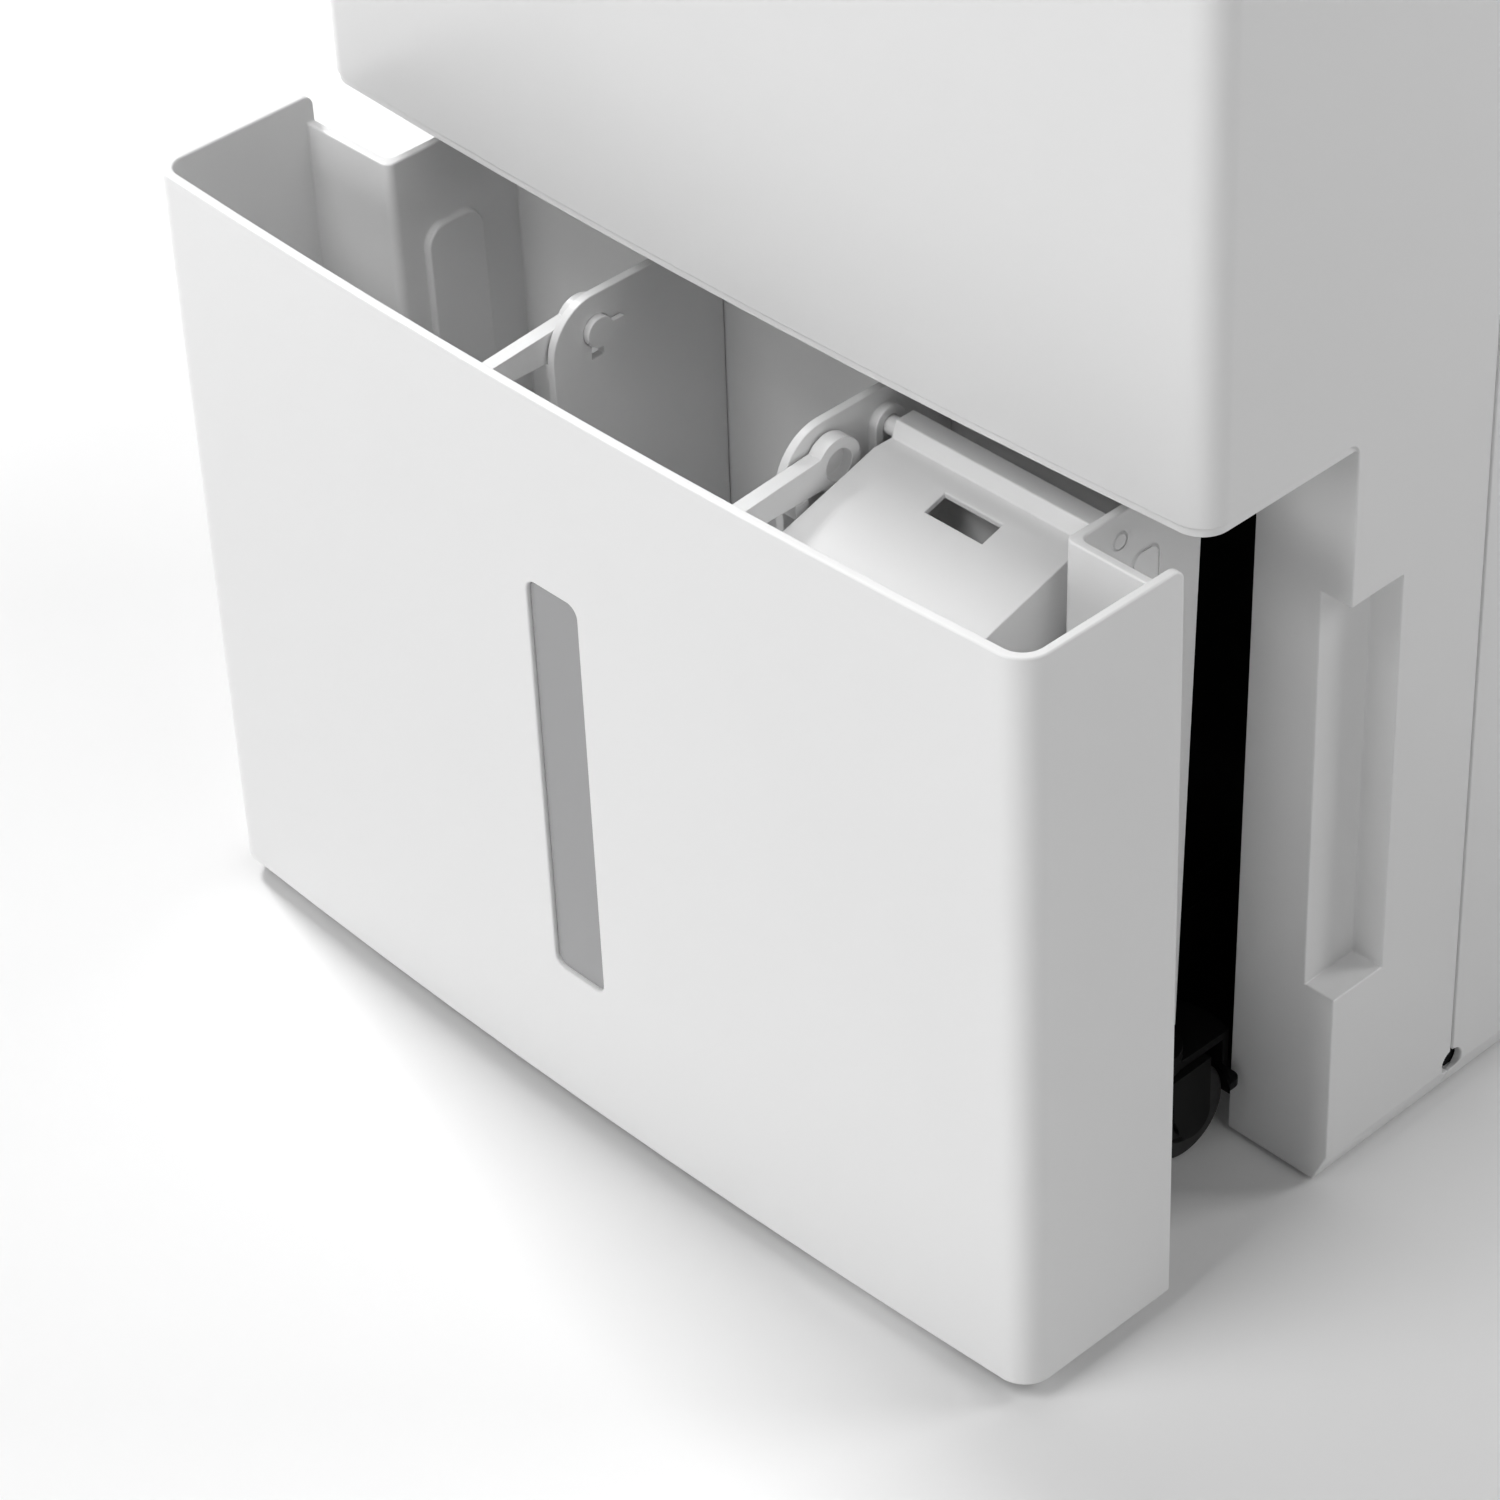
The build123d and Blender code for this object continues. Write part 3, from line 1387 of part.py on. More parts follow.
def main():
    """Build every piece and write it."""
    os.makedirs("parts", exist_ok=True)
    save("front_shell", front_shell())
    save("rear_shell", rear_shell())
    save("shell_screws", shell_screws())
    save("top_cover", top_cover())
    save("control_panel", control_panel())
    save("display_lens", display_lens())
    save("control_board", control_board())
    for name, x in button_places().items():
        save(f"button_{name}", button(x))
    save("outlet_grille", outlet_grille())
    save("outlet_duct", outlet_duct())
    save("fan_scroll", fan_scroll())
    save("fan_inlet_plate", fan_inlet_plate())
    save("fan_wheel", fan_wheel())
    save("fan_shaft", fan_shaft())
    save("fan_motor", fan_motor())
    save("base_pan", base_pan())
    save("bay_liner", bay_liner())
    save("level_sensor", level_sensor())
    for name, (x, y) in stem_places().items():
        save(f"caster_fork_{name}", caster_fork(x, y))
        save(f"caster_wheel_{name}", caster_wheel(x, y))
    save("drip_tray", drip_tray())
    save("evaporator_fins", coil_fins(evaporator_y))
    save("evaporator_bends", coil_bends(evaporator_y))
    save("condenser_fins", coil_fins(condenser_y))
    save("condenser_bends", coil_bends(condenser_y))
    save("compressor", compressor())
    save("compressor_grommets", compressor_grommets())
    save("compressor_bolts", compressor_bolts())
    save("accumulator", accumulator())
    save("discharge_pipe", discharge_pipe())
    save("suction_pipe", suction_pipe())
    save("liquid_line", liquid_line())
    save("filter_drier", filter_drier())
    save("intake_grille", intake_grille())
    save("filter_mesh", filter_mesh())
    save("drain_spigot", drain_spigot())
    save("drain_plug", drain_plug())
    save("cord_inlet", cord_inlet())
    save("tank_body", tank_body())
    save("level_window", level_window())
    save("handle_plate_left", handle_plate(-1))
    save("handle_plate_right", handle_plate(1))
    save("tank_handle", tank_handle())
    save("tank_float", tank_float())
    save("float_magnet", float_magnet())


main()
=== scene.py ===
import math

import bpy
from bpy.props import FloatProperty, FloatVectorProperty, PointerProperty
from mathutils import Matrix, Vector


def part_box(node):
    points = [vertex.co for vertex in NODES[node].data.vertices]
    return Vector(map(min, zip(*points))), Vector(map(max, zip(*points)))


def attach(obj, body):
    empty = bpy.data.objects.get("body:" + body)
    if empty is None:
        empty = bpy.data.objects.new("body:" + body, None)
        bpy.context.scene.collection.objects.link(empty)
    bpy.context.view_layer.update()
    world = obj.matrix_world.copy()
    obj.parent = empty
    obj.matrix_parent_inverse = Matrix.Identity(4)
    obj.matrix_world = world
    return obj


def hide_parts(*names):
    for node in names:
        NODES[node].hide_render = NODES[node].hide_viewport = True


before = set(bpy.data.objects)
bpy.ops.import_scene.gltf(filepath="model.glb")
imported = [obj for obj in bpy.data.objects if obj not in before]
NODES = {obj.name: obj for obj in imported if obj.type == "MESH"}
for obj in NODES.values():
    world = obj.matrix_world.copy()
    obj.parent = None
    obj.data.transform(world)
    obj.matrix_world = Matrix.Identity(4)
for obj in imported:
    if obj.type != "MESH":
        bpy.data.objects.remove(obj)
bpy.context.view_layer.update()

bl_info = {
    "name": "Dehumidifier Looks",
    "version": (1, 0, 0),
    "blender": (4, 5, 0),
    "location": "View3D > Sidebar > Dehumidifier",
    "description": "Dresses a packed dehumidifier with soft edges, small details and finishes",
    "category": "Object",
}

MM = 0.001
BUTTON_NAMES = ("fan", "mode", "power", "down", "up", "timer")
CASTER_NAMES = ("front_left", "front_right", "rear_left", "rear_right")

# Joining, levelling and rounding of a copied mesh; an edge left as moulded isn't rounded any further
AS_MOULDED = 0.0
MERGE_DISTANCE = 0.002 * MM
FLAT_ANGLE = math.radians(0.05)
SHARP_ANGLE = math.radians(32.0)
SMOOTH_ANGLE = math.radians(40.0)
CHAMFER_SHARE = 0.2

# Marks printed on the keys
MARK_HEIGHT = 0.12 * MM
MARK_WIDTH = 0.7 * MM
RING_STEPS = 36
RING_SIDES = 8
POWER_RING = 3.2 * MM
POWER_STEM = 3.4 * MM
BOWL_SIDES = 28
BOWL_RADIUS = 2.5 * MM
BOWL_DROP = 1.0 * MM
TIP_RADIUS = 2.9 * MM
TIP_RISE = 1.6 * MM
BLADE_COUNT = 3
BLADE_SIDES = 20
BLADE_RADIUS = 1.7 * MM
BLADE_REACH = 2.6 * MM
HUB_RADIUS = 0.9 * MM
ARROW_SIDES = 3
ARROW_RADIUS = 3.6 * MM
CLOCK_RING = 3.7 * MM
LONG_HAND = 2.6 * MM
LONG_HAND_RISE = 1.1 * MM
SHORT_HAND = 2.0 * MM
SHORT_HAND_REACH = 0.8 * MM

# Cross recesses of the shell screws
SCREW_HEAD = 8.0 * MM
CROSS_LENGTH = 4.6 * MM
CROSS_WIDTH = 0.9 * MM
CROSS_DEPTH = 1.1 * MM

# Seven-bar figures of the display: each bar's place across and along, and whether it stands upright
READING = "50"
FIGURE_WIDTH = 9.0 * MM
FIGURE_HEIGHT = 17.0 * MM
FIGURE_OFFSET = 7.5 * MM
SEGMENT_WIDTH = 1.3 * MM
SEGMENT_GAP = 1.4 * MM
SEGMENTS = {"0": "abcdef", "5": "acdfg"}
SEGMENT_PLACES = {
    "a": (0, 1, False), "b": (1, 0.5, True), "c": (1, -0.5, True), "d": (0, -1, False),
    "e": (-1, -0.5, True), "f": (-1, 0.5, True), "g": (0, 0, False),
}

# Moulded plastic: noise cells per metre, swing of the roughness and height of the grain
DRIFT_SCALE = 9.0
PATCH_SCALE = 25.0
ROUGHNESS_SWING = 0.015
GRAIN_HEIGHT = 0.05 * MM
DRIFT_LOW = 0.3
DRIFT_HIGH = 0.7
THREADS_SCALE = 260.0
THREAD_HEIGHT = 0.3 * MM

# Stage, in metres: each lamp's place, size and power setting, and the floor's tones and fade
LAMPS = {
    "key_lamp": ((-2.1, 0.15, 2.3), (0.5, 0.5), "key_power"),
    "high_softbox": ((-0.3, -1.8, 2.5), (1.4, 1.2), "high_power"),
    "low_softbox": ((-0.3, -2.8, 1.0), (1.6, 1.0), "low_power"),
    "side_softbox": ((2.2, -0.3, 2.0), (1.2, 1.2), "side_power"),
    "rear_softbox": ((1.6, 1.9, 1.6), (1.0, 1.0), "rear_power"),
}
LAMP_AIM = Vector((0.0, -0.1, 0.25))
FLOOR_SIZE = 12.0
FLOOR_CUTS = 8
FLOOR_ROUGHNESS = 0.7
FLOOR_TONE_LIGHT = 0.70
FLOOR_TONE_SEEN = 0.88
FADE_START = 0.40
FADE_END = 1.0
WHITE = (1, 1, 1, 1)
SENSOR_WIDTH = 36.0
CAMERA_REACH = 50.0


# Sizes and colours a user would change


class EdgeSizes(bpy.types.PropertyGroup):
    """How far the moulded edges are rounded."""

    shell: FloatProperty(
        name="Shell edges", description="Rounding of the housing's edges",
        default=0.5 * MM, min=0.0, unit="LENGTH",
    )
    tank: FloatProperty(
        name="Tank edges", description="Rounding of the tank's rim and corners",
        default=0.7 * MM, min=0.0, unit="LENGTH",
    )
    small: FloatProperty(
        name="Small edges", description="Rounding of the handle plates, float, bay and rear fittings",
        default=0.4 * MM, min=0.0, unit="LENGTH",
    )
    fine: FloatProperty(
        name="Fine edges", description="Rounding of the top cover, panel, handle, base and wheels",
        default=0.25 * MM, min=0.0, unit="LENGTH",
    )


class Finishes(bpy.types.PropertyGroup):
    """Colours of the main finishes."""

    white: FloatVectorProperty(
        name="Housing white", description="Moulded white of the shells",
        default=(0.88, 0.88, 0.88), subtype="COLOR", min=0.0, max=1.0,
    )
    tank_white: FloatVectorProperty(
        name="Tank white", description="Moulded white of the tank and its parts",
        default=(0.92, 0.92, 0.92), subtype="COLOR", min=0.0, max=1.0,
    )
    window: FloatVectorProperty(
        name="Window grey", description="Smoked plastic of the level window",
        default=(0.36, 0.36, 0.365), subtype="COLOR", min=0.0, max=1.0,
    )
    black: FloatVectorProperty(
        name="Bay black", description="Black plastic of the bay and casters",
        default=(0.004, 0.004, 0.004), subtype="COLOR", min=0.0, max=1.0,
    )
    fascia: FloatVectorProperty(
        name="Fascia grey", description="Satin grey of the control panel",
        default=(0.20, 0.205, 0.21), subtype="COLOR", min=0.0, max=1.0,
    )


class StageSetup(bpy.types.PropertyGroup):
    """Camera, lamps and floor."""

    camera_place: FloatVectorProperty(
        name="Camera place", description="Where the camera stands",
        default=(0.865947, -0.901099, 1.009665), subtype="TRANSLATION", unit="LENGTH",
    )
    yaw: FloatProperty(
        name="Yaw", description="Camera's turn to the left of straight ahead",
        default=math.radians(48.103), subtype="ANGLE", unit="ROTATION",
    )
    pitch: FloatProperty(
        name="Pitch", description="Camera's tilt below level",
        default=math.radians(37.817), subtype="ANGLE", unit="ROTATION",
    )
    roll: FloatProperty(
        name="Roll", description="Camera's turn about its own line of sight",
        default=math.radians(-2.700), subtype="ANGLE", unit="ROTATION",
    )
    lens: FloatProperty(
        name="Lens", description="Focal length in millimetres on the sensor's width",
        default=116.78, unit="CAMERA",
    )
    key_power: FloatProperty(
        name="Key lamp", description="Power of the high lamp on the left",
        default=54.0, unit="POWER",
    )
    high_power: FloatProperty(
        name="High softbox", description="Power of the high wide lamp in front",
        default=29.0, unit="POWER",
    )
    low_power: FloatProperty(
        name="Low softbox", description="Power of the low wide lamp in front",
        default=22.0, unit="POWER",
    )
    side_power: FloatProperty(
        name="Side softbox", description="Power of the wide lamp on the right",
        default=8.0, unit="POWER",
    )
    rear_power: FloatProperty(
        name="Rear softbox", description="Power of the lamp behind on the right",
        default=21.0, unit="POWER",
    )
    sky_level: FloatProperty(
        name="Room light", description="Strength of the even light from all round",
        default=0.03, min=0.0,
    )
    floor_lift: FloatProperty(
        name="Floor lift", description="How far the floor near the object is brightened towards white",
        default=0.02, min=0.0, max=1.0,
    )


# Modelling helpers


def settings():
    """The scene's three groups of settings."""
    scene = bpy.context.scene
    return scene.dehumidifier_edges, scene.dehumidifier_finishes, scene.dehumidifier_stage


def start_fresh():
    """Leave edit mode and deselect everything."""
    if bpy.context.mode != "OBJECT":
        bpy.ops.object.mode_set(mode="OBJECT")
    bpy.ops.object.select_all(action="DESELECT")


def make_active(piece):
    """Select one piece alone."""
    start_fresh()
    piece.select_set(True)
    bpy.context.view_layer.objects.active = piece


def select_mesh(piece):
    """Open one piece in edit mode with all of its mesh selected."""
    make_active(piece)
    bpy.ops.object.mode_set(mode="EDIT")
    bpy.ops.mesh.select_all(action="SELECT")


def take_shape(node, name):
    """Copy of a node's mesh as a new piece, with its loose triangles joined."""
    piece = bpy.data.objects.new(name, NODES[node].data.copy())
    bpy.context.scene.collection.objects.link(piece)
    piece.data.materials.clear()
    select_mesh(piece)
    bpy.ops.mesh.remove_doubles(threshold=MERGE_DISTANCE)
    bpy.ops.mesh.dissolve_limited(angle_limit=FLAT_ANGLE, use_dissolve_boundaries=False)
    bpy.ops.object.mode_set(mode="OBJECT")
    return piece


def round_edges(piece, width, segments):
    """Round a piece's sharp edges, on triangles so that no large face folds over itself."""
    select_mesh(piece)
    bpy.ops.mesh.quads_convert_to_tris(quad_method="BEAUTY", ngon_method="BEAUTY")
    bpy.ops.object.mode_set(mode="OBJECT")
    bevel = piece.modifiers.new("edges", "BEVEL")
    bevel.width = width
    bevel.segments = segments
    bevel.limit_method = "ANGLE"
    bevel.angle_limit = SHARP_ANGLE
    bevel.use_clamp_overlap = False
    bevel.loop_slide = False
    bevel.face_strength_mode = "FSTR_ALL"
    bpy.ops.object.modifier_apply(modifier=bevel.name)


def soften(piece, width, segments=2):
    """Round a piece's edges, where a width is given, and shade it smooth with level flats."""
    rounded = width > 0
    if rounded:
        round_edges(piece, width, segments)
    make_active(piece)
    bpy.ops.object.shade_smooth_by_angle(angle=SMOOTH_ANGLE)
    level = piece.modifiers.new("level", "WEIGHTED_NORMAL")
    level.keep_sharp = True
    level.use_face_influence = rounded
    bpy.ops.object.modifier_apply(modifier=level.name)
    return piece


def dress(piece, body, slot, material, *nodes):
    """Give a piece its material, the body it rides on and the nodes it stands for."""
    piece.data.materials.clear()
    piece.data.materials.append(material)
    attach(piece, body)
    if nodes:
        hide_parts(*nodes)
    return piece


def redo(node, name, body, slot, material, width, segments=2):
    """A node's shape with soft edges in its place."""
    return dress(soften(take_shape(node, name), width, segments), body, slot, material, node)


def paint(material, *nodes):
    """Assign a material to nodes that keep their own shape."""
    for node in nodes:
        mesh = NODES[node].data
        mesh.materials.clear()
        mesh.materials.append(material)


def set_down(piece, place, turn, chamfer):
    """Turn a new primitive, put it in its place and chamfer its edges."""
    piece.rotation_euler = (0.0, 0.0, turn)
    piece.location = place
    bpy.ops.object.transform_apply()
    select_mesh(piece)
    bpy.ops.mesh.bevel(offset=chamfer, segments=1)
    bpy.ops.object.mode_set(mode="OBJECT")
    return piece


def bar(length, width, height, place, turn=0.0):
    """Slim flat bar with chamfered edges, lying along X before its turn."""
    start_fresh()
    bpy.ops.mesh.primitive_cube_add(size=1.0)
    piece = bpy.context.object
    piece.scale = (length, width, height)
    return set_down(piece, place, turn, CHAMFER_SHARE * min(width, height))


def prism(sides, radius, height, place, turn=0.0):
    """Flat many-sided plate with chamfered edges."""
    start_fresh()
    bpy.ops.mesh.primitive_cylinder_add(vertices=sides, radius=radius, depth=height)
    return set_down(bpy.context.object, place, turn, CHAMFER_SHARE * height)


def ring(radius, width, height, place):
    """Flat printed ring."""
    start_fresh()
    bpy.ops.mesh.primitive_torus_add(
        major_radius=radius, minor_radius=width / 2,
        major_segments=RING_STEPS, minor_segments=RING_SIDES,
    )
    piece = bpy.context.object
    piece.scale = (1.0, 1.0, height / width)
    piece.location = place
    bpy.ops.object.transform_apply()
    return piece


def top_middle(node):
    """Middle of a node's top."""
    low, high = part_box(node)
    return Vector(((low[0] + high[0]) / 2, (low[1] + high[1]) / 2, high[2]))


def join(name, parts):
    """Several small pieces as one."""
    make_active(parts[0])
    for part in parts:
        part.select_set(True)
    bpy.ops.object.join()
    piece = bpy.context.object
    piece.name = name
    return piece


# Finishes


def new_material(name):
    """Empty node material with its output and shader."""
    material = bpy.data.materials.new(name)
    material.use_nodes = True
    tree = material.node_tree
    tree.nodes.clear()
    output = tree.nodes.new("ShaderNodeOutputMaterial")
    shader = tree.nodes.new("ShaderNodeBsdfPrincipled")
    tree.links.new(shader.outputs["BSDF"], output.inputs["Surface"])
    return material, tree, shader


def object_noise(tree, scale, detail=2.0):
    """Noise on the piece's own coordinates, in cells per metre."""
    place = tree.nodes.new("ShaderNodeTexCoord")
    noise = tree.nodes.new("ShaderNodeTexNoise")
    noise.inputs["Scale"].default_value = scale
    noise.inputs["Detail"].default_value = detail
    tree.links.new(place.outputs["Object"], noise.inputs["Vector"])
    return noise


def vary_colour(tree, shader, colour, spread, scale):
    """Slow drift of the base colour about its mean."""
    noise = object_noise(tree, scale, detail=3.0)
    ramp = tree.nodes.new("ShaderNodeValToRGB")
    darker, lighter = ramp.color_ramp.elements
    darker.position = DRIFT_LOW
    lighter.position = DRIFT_HIGH
    darker.color = [value * (1 - spread) for value in colour] + [1]
    lighter.color = [min(1.0, value * (1 + spread)) for value in colour] + [1]
    tree.links.new(noise.outputs["Fac"], ramp.inputs["Fac"])
    tree.links.new(ramp.outputs["Color"], shader.inputs["Base Color"])


def vary_roughness(tree, shader, roughness, swing, scale):
    """Patches of slightly different gloss about the mean roughness."""
    noise = object_noise(tree, scale)
    span = tree.nodes.new("ShaderNodeMapRange")
    span.inputs["To Min"].default_value = roughness - swing
    span.inputs["To Max"].default_value = roughness + swing
    tree.links.new(noise.outputs["Fac"], span.inputs["Value"])
    tree.links.new(span.outputs["Result"], shader.inputs["Roughness"])


def add_grain(tree, shader, scale, strength):
    """Fine spark-eroded grain of a moulding, as bump."""
    noise = object_noise(tree, scale, detail=4.0)
    bump = tree.nodes.new("ShaderNodeBump")
    bump.inputs["Strength"].default_value = strength
    bump.inputs["Distance"].default_value = GRAIN_HEIGHT
    tree.links.new(noise.outputs["Fac"], bump.inputs["Height"])
    tree.links.new(bump.outputs["Normal"], shader.inputs["Normal"])


def moulded_plastic(name, colour, roughness, grain=240.0, strength=0.04, spread=0.006, gloss=0.5):
    """Moulded plastic with fine grain and slow colour drift."""
    material, tree, shader = new_material(name)
    vary_colour(tree, shader, colour, spread, DRIFT_SCALE)
    vary_roughness(tree, shader, roughness, ROUGHNESS_SWING, PATCH_SCALE)
    add_grain(tree, shader, grain, strength)
    shader.inputs["Specular IOR Level"].default_value = gloss
    return material


def bare_metal(name, colour, roughness):
    """Metal with fine patches of gloss."""
    material, tree, shader = new_material(name)
    shader.inputs["Metallic"].default_value = 1.0
    vary_colour(tree, shader, colour, spread=0.06, scale=30.0)
    vary_roughness(tree, shader, roughness, swing=0.08, scale=400.0)
    return material


def rubber(name, colour):
    """Dull rubber with a coarse grain."""
    material, tree, shader = new_material(name)
    vary_colour(tree, shader, colour, spread=0.15, scale=40.0)
    vary_roughness(tree, shader, roughness=0.7, swing=0.1, scale=200.0)
    add_grain(tree, shader, scale=900.0, strength=0.3)
    return material


def netting(name, colour):
    """Woven filter cloth with threads both ways."""
    material, tree, shader = new_material(name)
    place = tree.nodes.new("ShaderNodeTexCoord")
    heights = []
    for direction in ("X", "Z"):
        wave = tree.nodes.new("ShaderNodeTexWave")
        wave.bands_direction = direction
        wave.inputs["Scale"].default_value = THREADS_SCALE
        tree.links.new(place.outputs["Object"], wave.inputs["Vector"])
        heights.append(wave.outputs["Fac"])
    weave = tree.nodes.new("ShaderNodeMath")
    weave.operation = "MAXIMUM"
    tree.links.new(heights[0], weave.inputs[0])
    tree.links.new(heights[1], weave.inputs[1])
    ramp = tree.nodes.new("ShaderNodeValToRGB")
    ramp.color_ramp.elements[0].color = [value * 0.3 for value in colour] + [1]
    ramp.color_ramp.elements[1].color = list(colour) + [1]
    tree.links.new(weave.outputs["Value"], ramp.inputs["Fac"])
    tree.links.new(ramp.outputs["Color"], shader.inputs["Base Color"])
    bump = tree.nodes.new("ShaderNodeBump")
    bump.inputs["Distance"].default_value = THREAD_HEIGHT
    tree.links.new(weave.outputs["Value"], bump.inputs["Height"])
    tree.links.new(bump.outputs["Normal"], shader.inputs["Normal"])
    shader.inputs["Roughness"].default_value = 0.85
    return material


def finish(name):
    """One of the shared finishes, made on its first use."""
    found = bpy.data.materials.get(name)
    if found:
        return found
    _, colours, _ = settings()
    plastics = {
        "housing white": dict(colour=colours.white, roughness=0.33),
        "tank white": dict(colour=colours.tank_white, roughness=0.32),
        "smoked window": dict(colour=colours.window, roughness=0.22, grain=600.0),
        "bay black": dict(
            colour=colours.black, roughness=0.5, grain=400.0, strength=0.2, spread=0.2, gloss=0.12,
        ),
        "fascia grey": dict(colour=colours.fascia, roughness=0.3),
        "dark lens": dict(colour=(0.012, 0.012, 0.014), roughness=0.1, grain=400.0, strength=0.02),
        "blower grey": dict(
            colour=(0.07, 0.07, 0.075), roughness=0.5, grain=900.0, strength=0.25, spread=0.08,
        ),
        "board green": dict(
            colour=(0.02, 0.12, 0.05), roughness=0.35, grain=700.0, strength=0.2, spread=0.2,
        ),
        "sensor black": dict(colour=(0.02, 0.02, 0.02), roughness=0.5),
        "print grey": dict(colour=(0.10, 0.10, 0.105), roughness=0.5),
        "display glow": dict(colour=(0.75, 0.82, 0.85), roughness=0.4),
        "enamel black": dict(
            colour=(0.012, 0.012, 0.012), roughness=0.25, grain=300.0, strength=0.2, spread=0.2,
        ),
        "ferrite": dict(colour=(0.06, 0.06, 0.065), roughness=0.6),
    }
    metals = {
        "plated can": dict(colour=(0.45, 0.45, 0.46), roughness=0.4),
        "zinc steel": dict(colour=(0.62, 0.62, 0.64), roughness=0.4),
        "bare aluminium": dict(colour=(0.75, 0.76, 0.78), roughness=0.35),
        "copper tube": dict(colour=(0.80, 0.42, 0.28), roughness=0.28),
    }
    if name in plastics:
        return moulded_plastic(name, **plastics[name])
    if name in metals:
        return bare_metal(name, **metals[name])
    if name == "black rubber":
        return rubber(name, (0.014, 0.014, 0.014))
    if name == "filter net":
        return netting(name, (0.035, 0.035, 0.038))
    raise KeyError(name)


# Pieces


class DEHUMIDIFIER_OT_housing(bpy.types.Operator):
    """Soften the shells and the top cover"""

    bl_idname = "dehumidifier.housing"
    bl_label = "Housing"

    def execute(self, context):
        edges, _, _ = settings()
        white = finish("housing white")
        redo("front_shell", "front_housing", "housing", "housing_white", white, edges.shell, 3)
        redo("rear_shell", "rear_housing", "housing", "housing_white", white, edges.shell, 3)
        redo("top_cover", "top_housing", "housing", "housing_white", white, edges.fine)
        return {"FINISHED"}


class DEHUMIDIFIER_OT_tank(bpy.types.Operator):
    """Soften the tank moulding"""

    bl_idname = "dehumidifier.tank"
    bl_label = "Water tank"

    def execute(self, context):
        edges, _, _ = settings()
        white = finish("tank white")
        redo("tank_body", "tank_moulding", "tank", "tank_white", white, edges.tank, 3)
        redo("level_window", "window_insert", "tank", "window_clear", finish("smoked window"), AS_MOULDED)
        return {"FINISHED"}


class DEHUMIDIFIER_OT_handle(bpy.types.Operator):
    """Soften the folding handle and the plates that carry it"""

    bl_idname = "dehumidifier.handle"
    bl_label = "Tank handle"

    def execute(self, context):
        edges, _, _ = settings()
        white = finish("tank white")
        redo("tank_handle", "folding_handle", "handle", "handle_white", white, edges.fine, 3)
        for side in ("left", "right"):
            redo(f"handle_plate_{side}", f"plate_{side}", "tank", "tank_white", white, edges.small, 3)
        return {"FINISHED"}


class DEHUMIDIFIER_OT_float(bpy.types.Operator):
    """Soften the float and paint its magnet"""

    bl_idname = "dehumidifier.float"
    bl_label = "Float"

    def execute(self, context):
        edges, _, _ = settings()
        redo("tank_float", "float_box", "float", "float_white", finish("tank white"), edges.small, 3)
        paint(finish("ferrite"), "float_magnet")
        return {"FINISHED"}


class DEHUMIDIFIER_OT_bay(bpy.types.Operator):
    """Finish the black bay and base"""

    bl_idname = "dehumidifier.bay"
    bl_label = "Bay and base"

    def execute(self, context):
        edges, _, _ = settings()
        black = finish("bay black")
        redo("base_pan", "base", "housing", "bay_black", black, edges.fine)
        redo("bay_liner", "bay_walls", "housing", "bay_black", black, edges.small)
        return {"FINISHED"}


class DEHUMIDIFIER_OT_casters(bpy.types.Operator):
    """Soften the caster forks and wheels"""

    bl_idname = "dehumidifier.casters"
    bl_label = "Casters"

    def execute(self, context):
        edges, _, _ = settings()
        for name in CASTER_NAMES:
            fork = f"fork_{name}"
            wheel = f"wheel_{name}"
            redo(f"caster_{fork}", fork, fork, "bay_black", finish("bay black"), AS_MOULDED)
            redo(f"caster_{wheel}", wheel, wheel, "tread_black", finish("black rubber"), edges.fine)
        return {"FINISHED"}


class DEHUMIDIFIER_OT_panel(bpy.types.Operator):
    """Finish the control panel, its lens and keys"""

    bl_idname = "dehumidifier.panel"
    bl_label = "Control panel"

    def execute(self, context):
        edges, _, _ = settings()
        redo("control_panel", "fascia", "housing", "panel_grey", finish("fascia grey"), edges.fine)
        redo("display_lens", "display", "housing", "lens_dark", finish("dark lens"), edges.fine)
        for name in BUTTON_NAMES:
            key = f"button_{name}"
            redo(key, f"key_{name}", key, "key_white", finish("housing white"), AS_MOULDED)
        paint(finish("board green"), "control_board")
        return {"FINISHED"}


